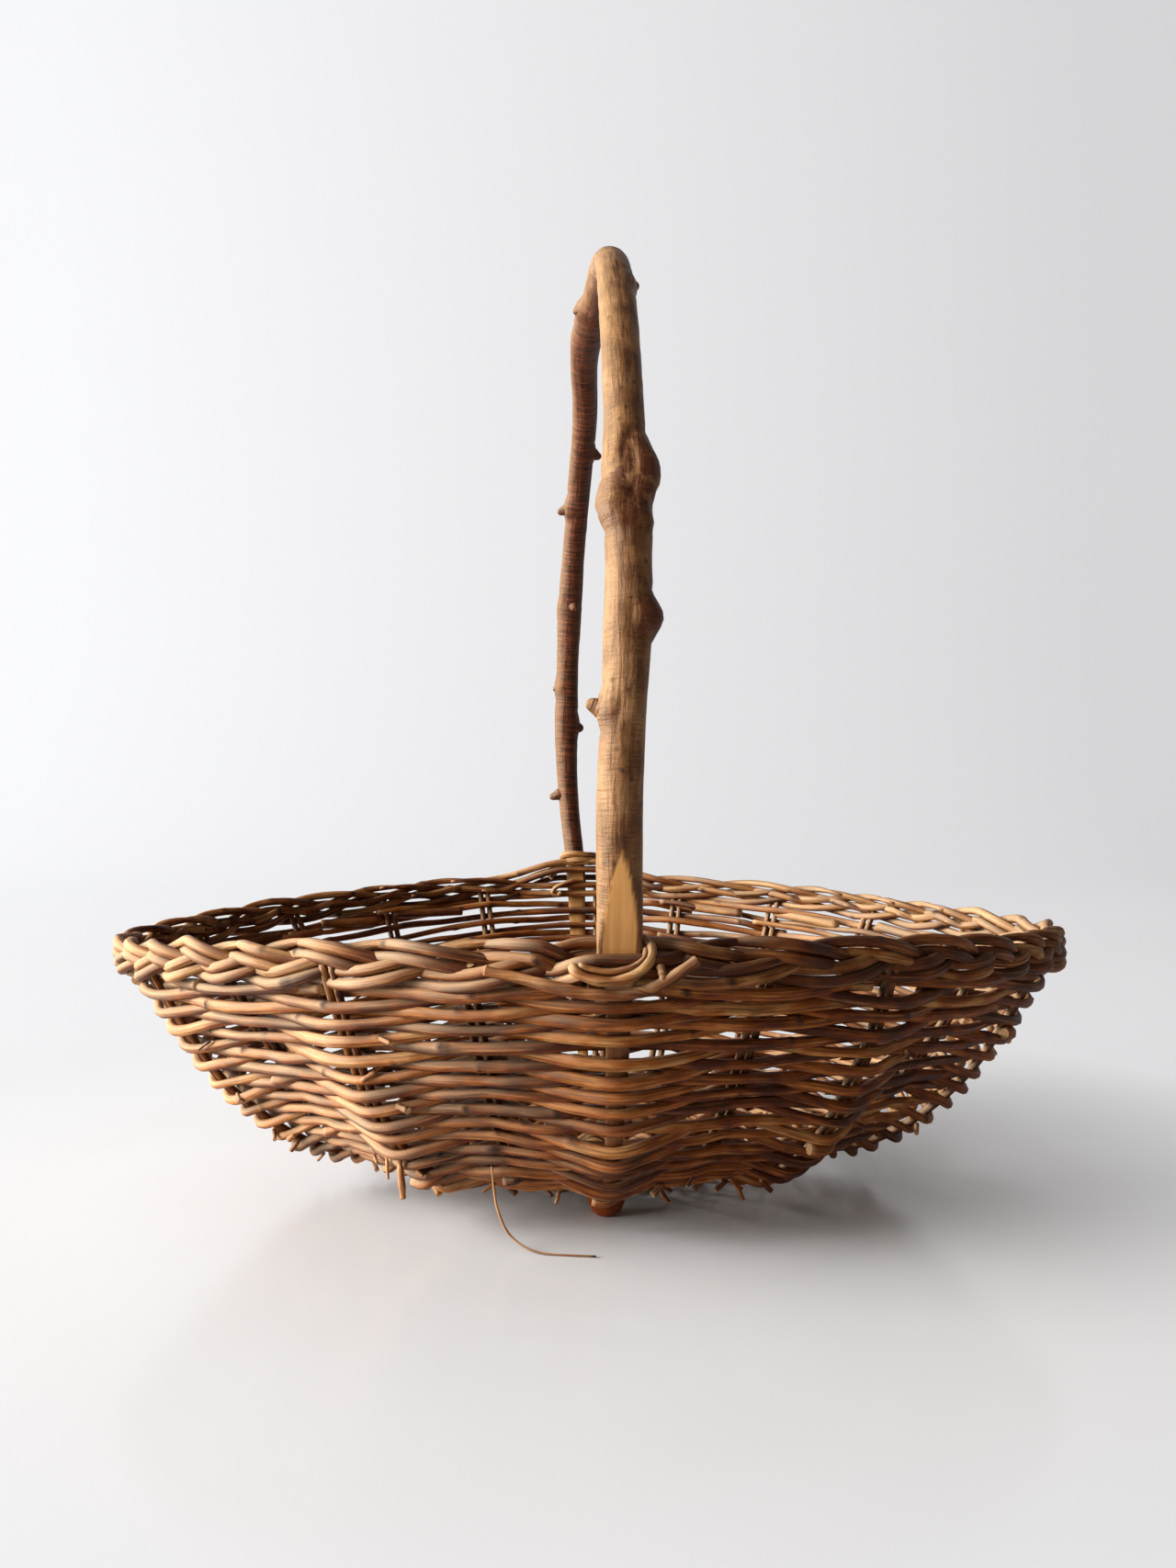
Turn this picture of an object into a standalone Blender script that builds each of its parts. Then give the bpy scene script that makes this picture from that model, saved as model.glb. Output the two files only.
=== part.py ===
"""Gathering basket: a woven willow bowl with a bent branch for a handle.

The long axis of the bowl runs along X, the handle crosses it along Y, and Z points up.
The origin lies on the table, under the middle of the bowl. Lengths are in metres.
A place round the basket is counted in stakes: place 0 is under the near leg of the handle,
and half way round is the far leg. A rise is a share of the way up the wall, from the edge
of the base at 0 to the middle of the border at 1, measured along the slope.
"""
import math

import bmesh
import bpy
import numpy as np
from mathutils import Matrix, Vector

# Bowl, measured on the middle surface of the woven wall
RIM_HALF_LENGTH = 0.249
RIM_HALF_WIDTH = 0.174
RIM_HEIGHT = 0.139
RIM_TIP_DROP = 0.016
RIM_PINCH_SHARE = 0.25
BASE_HALF_LENGTH = 0.108
BASE_HALF_WIDTH = 0.081
BASE_EDGE_HEIGHT = 0.0215
SIDE_FLARE_SHARE = 0.47
TIP_FLARE_SHARE = 0.52

# Gap left between any two pieces that touch on the real basket
GAP = 0.0003

# Upright stakes, which stand in pairs
STAKE_PLACES = 20
STAKE_FOOT_RADIUS = 0.0021
STAKE_TOP_RADIUS = 0.0018
STAKE_WAIST_SHARE = 0.6
STAKE_STATIONS = 8
STAKE_CROWDING_SHARE = 1.5

# Rows of the siding, each one rod that goes before one stake and behind the next
ROW_COUNT = 24
WEAVER_RADIUS = 0.0024
WEAVER_EASE = 0.0005
BASE_BEND_EASE = 0.0005
BASE_BEND_FADE_SHARE = 4.0
SCALLOP_DEPTH = 0.003

# Border of three rods laid round each other
BORDER_RODS = 3
BORDER_TURNS = 10
BORDER_POINTS_PER_PLACE = 4
BORDER_ROD_RADIUS = 0.0031
BORDER_DEPTH = 0.0046
BORDER_RISE = 0.0059
BORDER_SEAT_SHARE = 1.3
PARTING_SHARES = (0.28, 0.5)
PARTING_EASE = 0.0009

# Handle, one branch that is thick at the near leg and thin at the far leg
HANDLE_HEIGHT = 0.490
HANDLE_BULGE = 0.006
NEAR_LEG_RADIUS = 0.0097
CROWN_RADIUS = 0.0082
FAR_LEG_RADIUS = 0.0064
HANDLE_SIDES = 10
ARCH_STATIONS = 37
HANDLE_SWAY = 0.009
SWAY_ANGLE_SHARES = (-0.08, 0.0, 0.05, 0.1, 0.2, 0.4, 0.5, 0.62, 0.7, 0.78, 0.85, 0.93, 1.0, 1.08)
SWAY_SIDE_SHARES = (0.0, -0.1, 0.15, 0.45, 0.4, 0.5, 0.45, -0.35, 0.1, -0.35, -0.75, -1.0, -0.8, 0.0)
WHITTLE_LENGTH = 0.048
TONGUE_THICKNESS = 0.0078
TONGUE_HALF_WIDTH = 0.0058
TONGUE_TIP_HALF_WIDTH = 0.0026
TONGUE_TIP_RISE_SHARE = 0.1
TONGUE_STATIONS = 8

# Swellings of the branch: angle along the arch, in shares of a half turn, and size shares
KNOT_SWELL = 0.0022
KNOT_SPREAD_SHARE = 0.028
KNOT_SHARES = ((0.155, 1.0), (0.085, 0.45), (0.6, 0.5), (0.87, 0.4), (0.955, 0.35))

# Cut twig stubs: angle along the arch, turn round the branch, length and thickness shares
STUB_LENGTH = 0.0065
STUB_RADIUS = 0.0042
STUB_TAPER_SHARE = 0.72
STUB_SIDES = 8
STUB_SHARES = (
    (0.168, 0.22, 0.6, 1.5),
    (0.13, -0.3, 0.5, 1.4),
    (0.085, 0.25, 0.75, 1.3),
    (0.036, -0.25, 0.9, 0.8),
    (0.34, 0.25, 0.4, 0.7),
    (0.73, 0.25, 0.7, 0.8),
    (0.78, -0.25, 0.9, 0.8),
    (0.927, -0.25, 0.5, 0.7),
    (0.957, 0.25, 0.7, 0.9),
    (1.014, -0.25, 1.0, 0.9),
)

# Bindings of thin rod round the foot of each leg
BINDING_RADIUS = 0.0024
BINDING_EASE = 0.0009
BINDING_POINTS = 16
BINDING_TILT = 0.0022

# Base mat: a shallow saucer of woven rounds, flat where it stands on the table
MAT_THICKNESS = 0.0098
MAT_FLAT_SHARE = 0.42
MAT_CENTRE_SHARE = 0.22
MAT_ROUNDS = 13
MAT_WEAVE_DEPTH = 0.0016
MAT_EDGE_SHARE = 0.55
MAT_THINNING_SHARE = 0.2
MAT_CLIMB_SHARE = 1.5

# Sticks that cross inside the base, two each way
STICK_COUNT = 4
STICK_RADIUS = 0.0032
STICK_SPACING = 0.012
STICK_REACH_SHARE = 0.86
STICK_POINTS = 9
CROSSING_SHARE = 0.42

# Foot knobs, the ends of the thick rib under the handle
FOOT_RADIUS = 0.0115
FOOT_LENGTH = 0.014
FOOT_DOME = 0.008
FOOT_INSET = 0.013
FOOT_EASE = 0.0006
FOOT_SIDES = 12
FOOT_DOME_STEPS = 4

# Samples of the curves that are measured by length, and steps by which slopes are taken
CURVE_SAMPLES = 721
SLOPE_SAMPLES = 41
WALL_STEP_SHARE = 0.05
ARCH_STEP_SHARE = 0.01

# Edges that turn more than this stay sharp, and closer points than this are one point
SHARP_DEGREES = 50
MERGE_DISTANCE = 0.00003

# Colours, roughness and metallic values
WILLOW_COLOUR = (0.30, 0.135, 0.045)
WILLOW_PALE_COLOUR = (0.42, 0.22, 0.09)
BARK_COLOUR = (0.19, 0.085, 0.032)
PEELED_COLOUR = (0.36, 0.12, 0.035)
WILLOW_ROUGHNESS = 0.55
BARK_ROUGHNESS = 0.6
METALLIC = 0.0


def clear_scene():
    """Remove every object that the file starts with."""
    for old in list(bpy.data.objects):
        bpy.data.objects.remove(old, do_unlink=True)


def material(name, colour, roughness):
    """Make a Principled material for one piece."""
    made = bpy.data.materials.new(name)
    made.use_nodes = True
    shader = made.node_tree.nodes["Principled BSDF"]
    shader.inputs["Base Color"].default_value = (*colour, 1.0)
    shader.inputs["Roughness"].default_value = roughness
    shader.inputs["Metallic"].default_value = METALLIC
    return made


def willow_colour(number):
    """Mix the dark and the pale willow by a share that changes from rod to rod."""
    share = 0.5 + 0.5 * math.sin(number * math.e)
    return tuple(dark + (pale - dark) * share for dark, pale in zip(WILLOW_COLOUR, WILLOW_PALE_COLOUR))


def add_object(name, data, colour, roughness):
    """Link a mesh or a curve as a named object with its own material."""
    data.materials.append(material(name + "_finish", colour, roughness))
    made = bpy.data.objects.new(name, data)
    bpy.context.scene.collection.objects.link(made)
    return made


def loft(name, rings):
    """Skin a row of rings, each an array of points, and close both ends."""
    sides = len(rings[0])
    points = [tuple(point) for ring in rings for point in ring]
    faces = []
    for ring in range(len(rings) - 1):
        for side in range(sides):
            turn = (side + 1) % sides
            first = ring * sides
            second = first + sides
            faces.append((first + side, first + turn, second + turn, second + side))
    faces.append(tuple(range(sides))[::-1])
    faces.append(tuple(range(len(points) - sides, len(points))))
    mesh = bpy.data.meshes.new(name)
    mesh.from_pydata(points, [], faces)
    form = bmesh.new()
    form.from_mesh(mesh)
    bmesh.ops.recalc_face_normals(form, faces=form.faces)
    form.to_mesh(mesh)
    form.free()
    mesh.shade_smooth()
    mesh.set_sharp_from_angle(angle=math.radians(SHARP_DEGREES))
    return mesh


def rod(name, centres, radius, closed, resolution, colour, roughness):
    """Make a round rod along a line of points, as a curve with a bevel."""
    curve = bpy.data.curves.new(name, "CURVE")
    curve.dimensions = "3D"
    curve.bevel_depth = radius
    curve.bevel_resolution = resolution
    curve.use_fill_caps = True
    spline = curve.splines.new("POLY")
    spline.points.add(len(centres) - 1)
    for knot, centre in zip(spline.points, centres):
        knot.co = (*centre, 1.0)
    spline.use_cyclic_u = closed
    return add_object(name, curve, colour, roughness)


def rim_plan(turn):
    """Give the rim's x and y: an oval whose flanks are pinched towards its two tips."""
    x = RIM_HALF_LENGTH * np.sin(turn)
    y = -RIM_HALF_WIDTH * np.cos(turn) * (1 - RIM_PINCH_SHARE * np.sin(turn) ** 2)
    return x, y


def rim_turns():
    """List the turn at which each share of the rim's length is reached."""
    turns = np.linspace(0, 2 * math.pi, CURVE_SAMPLES)
    x, y = rim_plan(turns)
    steps = np.hypot(np.diff(x), np.diff(y))
    lengths = np.concatenate([[0], np.cumsum(steps)])
    return lengths / lengths[-1], turns


RIM_LENGTH_SHARES, RIM_TURNS = rim_turns()


def slope(place):
    """Sample the wall at one place, from the base to the rim, with its length so far."""
    around = place / STAKE_PLACES
    whole = math.floor(around)
    turn = np.interp(around - whole, RIM_LENGTH_SHARES, RIM_TURNS)
    angle = 2 * math.pi * around
    rim_x, rim_y = rim_plan(turn)
    rim_z = RIM_HEIGHT - RIM_TIP_DROP * np.sin(turn) ** 2
    base_x = BASE_HALF_LENGTH * math.sin(angle)
    base_y = -BASE_HALF_WIDTH * math.cos(angle)
    flare = SIDE_FLARE_SHARE + (TIP_FLARE_SHARE - SIDE_FLARE_SHARE) * np.sin(turn) ** 2
    outward = np.linspace(0, 1, SLOPE_SAMPLES)
    upward = outward ** (1 / flare)
    points = np.stack([
        base_x + (rim_x - base_x) * outward,
        base_y + (rim_y - base_y) * outward,
        BASE_EDGE_HEIGHT + (rim_z - BASE_EDGE_HEIGHT) * upward,
    ], axis=1)
    steps = np.linalg.norm(np.diff(points, axis=0), axis=1)
    return points, np.concatenate([[0], np.cumsum(steps)])


def wall_point(place, rise):
    """Find the point of the wall's middle surface at a place and a rise."""
    points, lengths = slope(place)
    along = rise * lengths[-1]
    return np.array([np.interp(along, lengths, points[:, axis]) for axis in range(3)])


def wall_frame(place, rise):
    """Give the wall's point, its direction round the basket and its outward normal."""
    low = max(rise - WALL_STEP_SHARE, 0)
    high = min(rise + WALL_STEP_SHARE, 1)
    around = wall_point(place + WALL_STEP_SHARE, rise) - wall_point(place - WALL_STEP_SHARE, rise)
    upward = wall_point(place, high) - wall_point(place, low)
    around = around / np.linalg.norm(around)
    normal = np.cross(around, upward)
    normal = normal / np.linalg.norm(normal)
    swell = SCALLOP_DEPTH * math.cos(math.pi * place) * 4 * rise * (1 - rise)
    return wall_point(place, rise) + normal * swell, around, normal


def stake_radius(rise):
    """Taper a stake from its foot to its top."""
    return STAKE_FOOT_RADIUS + (STAKE_TOP_RADIUS - STAKE_FOOT_RADIUS) * rise


BORDER_HALF_HEIGHT = BORDER_RISE + BORDER_ROD_RADIUS
SIDING_TOP = BORDER_SEAT_SHARE * BORDER_HALF_HEIGHT + GAP


def siding_rise(place, share):
    """Turn a share of the siding's own height into a rise, clear of base and border."""
    length = slope(place)[1][-1]
    return (GAP + share * (length - SIDING_TOP - GAP)) / length


def make_row(row):
    """Weave one row: out past the even stakes and in past the odd ones, or the reverse."""
    centres = []
    for step in range(2 * STAKE_PLACES):
        place = step / 2
        rise = siding_rise(place, (row + 0.5) / ROW_COUNT)
        point, _, normal = wall_frame(place, rise)
        ease = WEAVER_EASE + BASE_BEND_EASE * (1 - rise) ** BASE_BEND_FADE_SHARE
        reach = stake_radius(rise) + WEAVER_RADIUS + GAP + ease
        side = round(math.cos(math.pi * (place + row)))
        centres.append(point + normal * reach * side)
    name = f"weaver_row_{row + 1:02d}"
    return rod(name, centres, WEAVER_RADIUS, True, 0, willow_colour(row), WILLOW_ROUGHNESS)


def make_stake(place):
    """Stand one pair of stakes, two rods side by side, in the wall."""
    rings = []
    for station in range(STAKE_STATIONS):
        share = (station / (STAKE_STATIONS - 1)) ** STAKE_CROWDING_SHARE
        rise = siding_rise(place, share)
        point, around, normal = wall_frame(place, rise)
        radius = stake_radius(rise)
        waist = radius * STAKE_WAIST_SHARE
        outline = (
            (2 * radius, 0), (radius, radius), (0, waist), (-radius, radius),
            (-2 * radius, 0), (-radius, -radius), (0, -waist), (radius, -radius),
        )
        rings.append([point + around * across + normal * out for across, out in outline])
    name = f"stake_pair_{place:02d}"
    return add_object(name, loft(name, rings), willow_colour(place + ROW_COUNT), WILLOW_ROUGHNESS)


def leg_offset(place):
    """Count the places from here to the nearer handle leg, with a sign."""
    half = STAKE_PLACES / 2
    return (place + half / 2) % half - half / 2


def parting(offset):
    """Say how far the border's rods part for a handle leg: 1 beside it, 0 away from it."""
    near, far = PARTING_SHARES
    return float(np.clip((far - abs(offset)) / (far - near), 0, 1))


def make_border_rod(number):
    """Lay one border rod, which turns round its fellows and parts for the legs."""
    centres = []
    start = 2 * math.pi * number / BORDER_RODS
    leg_side = 1 if number == 0 else -1
    parted_depth = TONGUE_THICKNESS / 2 + BORDER_ROD_RADIUS + GAP + PARTING_EASE
    for step in range(BORDER_POINTS_PER_PLACE * STAKE_PLACES):
        place = step / BORDER_POINTS_PER_PLACE
        point, around, _ = wall_frame(place, 1)
        outward = np.array([around[1], -around[0], 0])
        outward = outward / np.linalg.norm(outward)
        offset = leg_offset(place)
        parted = parting(offset)
        turn = start + 2 * math.pi * BORDER_TURNS * (place - offset * parted) / STAKE_PLACES
        depth = BORDER_DEPTH * math.cos(turn) * (1 - parted) + parted_depth * leg_side * parted
        height = BORDER_RISE * math.sin(turn)
        centres.append(point + outward * depth + np.array([0, 0, height]))
    name = f"border_rod_{number + 1}"
    colour = willow_colour(number + ROW_COUNT + STAKE_PLACES)
    return rod(name, centres, BORDER_ROD_RADIUS, True, 0, colour, WILLOW_ROUGHNESS)


# The branch bends along one ellipse that passes through the border at both legs
CROWN_CENTRE_HEIGHT = HANDLE_HEIGHT - CROWN_RADIUS
ARCH_HALF_SPAN = RIM_HALF_WIDTH + HANDLE_BULGE
ARCH_START = -math.acos(RIM_HALF_WIDTH / ARCH_HALF_SPAN)
ARCH_RISE = (CROWN_CENTRE_HEIGHT - RIM_HEIGHT) / (1 - math.sin(ARCH_START))
ARCH_CENTRE_HEIGHT = CROWN_CENTRE_HEIGHT - ARCH_RISE


def arch_point(angle):
    """Give the middle of the branch at an angle along the arch, with its sideways sway."""
    sway = np.interp(angle / math.pi, SWAY_ANGLE_SHARES, SWAY_SIDE_SHARES)
    return np.array([
        HANDLE_SWAY * sway,
        -ARCH_HALF_SPAN * math.cos(angle),
        ARCH_CENTRE_HEIGHT + ARCH_RISE * math.sin(angle),
    ])


def arch_forward(angle):
    """Give the direction in which the branch runs on at an angle along the arch."""
    forward = arch_point(angle + ARCH_STEP_SHARE) - arch_point(angle - ARCH_STEP_SHARE)
    return forward / np.linalg.norm(forward)


def branch_radius(angle):
    """Taper the branch from the near leg over the crown to the far leg, with its knots."""
    share = angle / math.pi
    radius = np.interp(share, (0, 0.5, 1), (NEAR_LEG_RADIUS, CROWN_RADIUS, FAR_LEG_RADIUS))
    for knot_share, size in KNOT_SHARES:
        radius += KNOT_SWELL * size * math.exp(-((share - knot_share) / KNOT_SPREAD_SHARE) ** 2)
    return radius


def branch_ring(centre, forward, half_width, depth, outer, inner):
    """Place one section of the branch: an ellipse cut flat on its outer and inner side."""
    forward = forward / np.linalg.norm(forward)
    outward = np.cross((1, 0, 0), forward)
    ring = []
    for side in range(HANDLE_SIDES):
        turn = 2 * math.pi * side / HANDLE_SIDES
        across = half_width * math.sin(turn)
        out = float(np.clip(depth * math.cos(turn), -inner, outer))
        ring.append(centre + np.array([across, 0, 0]) + outward * out)
    return ring


def tongue_rings(place, sway, grip_radius):
    """Taper the whittled end that runs down in the wall like a stake."""
    rings = []
    for station in range(TONGUE_STATIONS):
        share = station / (TONGUE_STATIONS - 1)
        rise = TONGUE_TIP_RISE_SHARE + share * (siding_rise(place, 1) - TONGUE_TIP_RISE_SHARE)
        point, _, _ = wall_frame(place, rise)
        above, _, _ = wall_frame(place, rise + TONGUE_TIP_RISE_SHARE / 2)
        half_width = TONGUE_TIP_HALF_WIDTH + (TONGUE_HALF_WIDTH - TONGUE_TIP_HALF_WIDTH) * share
        depth = stake_radius(rise)
        centre = point + np.array([sway * share, 0, 0])
        rings.append((centre, above - point, min(half_width, grip_radius), depth, depth, depth))
    return rings


def leg_clips(centre, radius):
    """Say how far the leg reaches outwards and inwards where it is whittled."""
    over = centre[2] - RIM_HEIGHT
    grip = TONGUE_THICKNESS / 2
    reach = (BORDER_HALF_HEIGHT, WHITTLE_LENGTH)
    outer = np.interp(over, reach, (grip, radius))
    inner = np.interp(over, (BORDER_HALF_HEIGHT, 2 * BORDER_HALF_HEIGHT), (grip, radius))
    return outer, inner


def make_handle():
    """Make the branch: whittled tongue, near leg, arch, far leg and far tongue."""
    angles = np.linspace(ARCH_START, math.pi - ARCH_START, ARCH_STATIONS)
    near_sway = arch_point(angles[0])[0]
    far_sway = arch_point(angles[-1])[0]
    sections = tongue_rings(0, near_sway, NEAR_LEG_RADIUS)
    for angle in angles:
        centre = arch_point(angle)
        radius = branch_radius(angle)
        outer, inner = leg_clips(centre, radius)
        sections.append((centre, arch_forward(angle), radius, radius, outer, inner))
    for centre, forward, *sizes in reversed(tongue_rings(STAKE_PLACES // 2, far_sway, FAR_LEG_RADIUS)):
        sections.append((centre, -forward, *sizes))
    handle = add_object("handle_branch", loft("handle_branch", [branch_ring(*s) for s in sections]),
                        BARK_COLOUR, BARK_ROUGHNESS)
    stubs = make_stubs()
    union = handle.modifiers.new("twig_stubs", "BOOLEAN")
    union.operation = "UNION"
    union.object = stubs
    return handle


def make_stubs():
    """Set the cut twig stubs round the branch, as one guide that the branch takes in."""
    form = bmesh.new()
    for share, around, length_share, radius_share in STUB_SHARES:
        angle = share * math.pi
        centre = arch_point(angle)
        outward = np.cross((1, 0, 0), arch_forward(angle))
        turn = 2 * math.pi * around
        side = np.array([math.sin(turn), 0, 0]) + outward * math.cos(turn)
        side = Vector(side).normalized()
        reach = branch_radius(angle) + STUB_LENGTH * length_share
        radius = STUB_RADIUS * radius_share
        turn_to_side = side.to_track_quat("Z", "Y").to_matrix().to_4x4()
        middle = Vector(centre) + side * reach / 2
        bmesh.ops.create_cone(
            form, cap_ends=True, segments=STUB_SIDES, radius1=radius,
            radius2=radius * STUB_TAPER_SHARE, depth=reach,
            matrix=Matrix.Translation(middle) @ turn_to_side,
        )
    mesh = bpy.data.meshes.new("twig_stub_guides")
    form.to_mesh(mesh)
    form.free()
    guide = bpy.data.objects.new("twig_stub_guides", mesh)
    bpy.context.scene.collection.objects.link(guide)
    guide.hide_render = True
    guide.display_type = "WIRE"
    return guide


def make_binding(name, near):
    """Bind the foot of one leg with a loop of thin rod, just over the border."""
    height = RIM_HEIGHT + BORDER_HALF_HEIGHT + BINDING_RADIUS + BINDING_TILT + 2 * GAP
    angle = math.asin((height - ARCH_CENTRE_HEIGHT) / ARCH_RISE)
    lean = 1 if near else -1
    if not near:
        angle = math.pi - angle
    centre = arch_point(angle)
    radius = branch_radius(angle)
    outer, inner = leg_clips(centre, radius)
    stand_off = BINDING_RADIUS + BINDING_EASE
    centres = []
    for step in range(BINDING_POINTS):
        turn = 2 * math.pi * step / BINDING_POINTS
        reach = outer if math.cos(turn) > 0 else inner
        across = (radius + stand_off) * math.sin(turn)
        out = np.clip(radius * math.cos(turn), -inner, outer) * (1 + stand_off / reach)
        tilt = BINDING_TILT * math.sin(turn)
        centres.append(centre + np.array([across, -lean * out, tilt]))
    return rod(name, centres, BINDING_RADIUS, True, 0, WILLOW_PALE_COLOUR, WILLOW_ROUGHNESS)


def mat_lift(share):
    """Give the height of the mat's underside at a share of the way to its edge."""
    edge = BASE_EDGE_HEIGHT - MAT_THICKNESS * MAT_EDGE_SHARE
    climb = max(share - MAT_FLAT_SHARE, 0) / (1 - MAT_FLAT_SHARE)
    return edge * climb ** MAT_CLIMB_SHARE


def mat_weave(turn, place):
    """Say how far one round rises over a stick or sinks under the next. The edge is plain."""
    if turn == 0:
        return MAT_WEAVE_DEPTH
    if turn == MAT_ROUNDS:
        return 0
    return MAT_WEAVE_DEPTH * math.cos(math.pi * (place + turn))


def mat_top(share):
    """Give the middle height of the mat's upper side at a share of the way to its edge."""
    return mat_lift(share) + MAT_THICKNESS * (1 - MAT_THINNING_SHARE * share)


def mat_ring(share, heights):
    """Set one ring of the mat, with a point at each place and a height for each."""
    ring = []
    for place, height in enumerate(heights):
        angle = 2 * math.pi * place / STAKE_PLACES
        x = (BASE_HALF_LENGTH - GAP) * share * math.sin(angle)
        y = -(BASE_HALF_WIDTH - GAP) * share * math.cos(angle)
        ring.append((x, y, height))
    return ring


def make_base_mat():
    """Weave the base as one saucer: every round is a wave over and under the sticks."""
    upper = []
    lower = [mat_ring(MAT_FLAT_SHARE, [0] * STAKE_PLACES)]
    for turn in range(MAT_ROUNDS + 1):
        share = MAT_CENTRE_SHARE + (1 - MAT_CENTRE_SHARE) * turn / MAT_ROUNDS
        waves = [mat_weave(turn, place) for place in range(STAKE_PLACES)]
        upper.append(mat_ring(share, [mat_top(share) + wave for wave in waves]))
        if share > MAT_FLAT_SHARE:
            rest = mat_lift(share) - min(waves)
            lower.append(mat_ring(share, [rest + wave for wave in waves]))
    return add_object("base_mat", loft("base_mat", upper + lower[::-1]),
                      WILLOW_COLOUR, WILLOW_ROUGHNESS)


def make_base_stick(number):
    """Bend one base stick over the mat: two lie along X, and two cross over them along Y."""
    lengthwise = number < STICK_COUNT // 2
    offset = STICK_SPACING * (number % 2 - 0.5)
    half_x = BASE_HALF_LENGTH
    half_y = BASE_HALF_WIDTH
    reach = STICK_REACH_SHARE * (half_x if lengthwise else half_y)
    centres = []
    for step in range(STICK_POINTS):
        along = reach * (2 * step / (STICK_POINTS - 1) - 1)
        x, y = (along, offset) if lengthwise else (offset, along)
        share = math.hypot(x / half_x, y / half_y)
        height = mat_top(share) + MAT_WEAVE_DEPTH + STICK_RADIUS + GAP
        if not lengthwise:
            over = np.clip((CROSSING_SHARE * 2 - abs(along) / half_y) / CROSSING_SHARE, 0, 1)
            height += (2 * STICK_RADIUS + GAP) * over
        centres.append((x, y, height))
    name = f"base_stick_{number + 1}"
    return rod(name, centres, STICK_RADIUS, False, 0, willow_colour(number), WILLOW_ROUGHNESS)


def make_foot(name, side):
    """Turn one foot knob with a domed end, seat it under the mat and cut it flat on the table."""
    form = bmesh.new()
    outline = [Vector((0, 0, 0)), Vector((FOOT_RADIUS, 0, 0))]
    for step in range(FOOT_DOME_STEPS + 1):
        angle = math.pi / 2 * step / FOOT_DOME_STEPS
        drop = FOOT_LENGTH - FOOT_DOME * (1 - math.sin(angle))
        outline.append(Vector((FOOT_RADIUS * math.cos(angle), 0, -drop)))
    knots = [form.verts.new(point) for point in outline]
    edges = [form.edges.new(pair) for pair in zip(knots, knots[1:])]
    bmesh.ops.spin(form, geom=knots + edges, cent=(0, 0, 0), axis=(0, 0, 1),
                   angle=2 * math.pi, steps=FOOT_SIDES)
    bmesh.ops.remove_doubles(form, verts=form.verts, dist=MERGE_DISTANCE)
    seat = BASE_HALF_WIDTH - FOOT_INSET
    step_in = FOOT_RADIUS / BASE_HALF_WIDTH
    share = seat / BASE_HALF_WIDTH
    climb = mat_lift(share + step_in) - mat_lift(share - step_in)
    lean = math.atan2(climb, 2 * FOOT_RADIUS)
    top = mat_lift(share) - GAP - FOOT_EASE
    placing = Matrix.Translation((0, side * seat, top)) @ Matrix.Rotation(side * lean, 4, "X")
    bmesh.ops.transform(form, matrix=placing, verts=form.verts)
    geometry = form.verts[:] + form.edges[:] + form.faces[:]
    cut = bmesh.ops.bisect_plane(form, geom=geometry, plane_co=(0, 0, 0), plane_no=(0, 0, 1),
                                 clear_inner=True)
    rim = [edge for edge in cut["geom_cut"] if isinstance(edge, bmesh.types.BMEdge)]
    bmesh.ops.contextual_create(form, geom=rim)
    bmesh.ops.recalc_face_normals(form, faces=form.faces)
    mesh = bpy.data.meshes.new(name)
    form.to_mesh(mesh)
    form.free()
    mesh.shade_smooth()
    mesh.set_sharp_from_angle(angle=math.radians(SHARP_DEGREES))
    return add_object(name, mesh, PEELED_COLOUR, WILLOW_ROUGHNESS)


def build():
    """Make every piece of the basket."""
    clear_scene()
    make_base_mat()
    for number in range(STICK_COUNT):
        make_base_stick(number)
    for place in range(STAKE_PLACES):
        if place % (STAKE_PLACES // 2):
            make_stake(place)
    for row in range(ROW_COUNT):
        make_row(row)
    for number in range(BORDER_RODS):
        make_border_rod(number)
    make_foot("near_foot", -1)
    make_foot("far_foot", 1)
    make_handle()
    make_binding("near_leg_binding", True)
    make_binding("far_leg_binding", False)


build()
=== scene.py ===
# %% [markdown]
# # A gathering basket, woven from willow round a bent branch
#
# The real basket is an oval bowl of thin willow rods. Its handle is one natural branch, bent
# over the bowl, with the bark and the cut twigs left on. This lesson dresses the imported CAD
# model, which gives the sizes and what collides, with rods that are woven one by one. Each
# shape is a formula on whole numpy arrays, and each finish is a tree of shader nodes.

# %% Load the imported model
import math

import bpy
import numpy as np
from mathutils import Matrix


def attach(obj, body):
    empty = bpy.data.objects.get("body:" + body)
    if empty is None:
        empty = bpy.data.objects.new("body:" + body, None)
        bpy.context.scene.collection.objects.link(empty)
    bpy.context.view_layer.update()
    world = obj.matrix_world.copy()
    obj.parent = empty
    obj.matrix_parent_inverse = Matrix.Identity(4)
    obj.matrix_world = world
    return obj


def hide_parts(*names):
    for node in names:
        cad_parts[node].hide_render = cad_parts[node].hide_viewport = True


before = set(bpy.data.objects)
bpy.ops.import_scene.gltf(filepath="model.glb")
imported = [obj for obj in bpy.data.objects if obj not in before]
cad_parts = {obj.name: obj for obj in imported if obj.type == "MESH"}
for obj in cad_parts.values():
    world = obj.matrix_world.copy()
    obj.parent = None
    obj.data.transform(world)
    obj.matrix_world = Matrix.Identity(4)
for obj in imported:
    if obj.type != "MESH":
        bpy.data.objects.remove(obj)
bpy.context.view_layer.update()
print("CAD nodes:", len(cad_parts))

# %% [markdown]
# ## Camera
#
# The photograph was taken from just above the rim, 0.74 m from the middle of the bowl. The
# camera stands a little to the left of the handle, so both legs show side by side. The values
# come from fitting a model of the bowl's outline to the photograph.

# %% Camera
CAMERA_PLACE = (-0.0438, -0.7413, 0.2256)
CAMERA_HEADING, CAMERA_DOWN = 0.0536, 0.021


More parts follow.
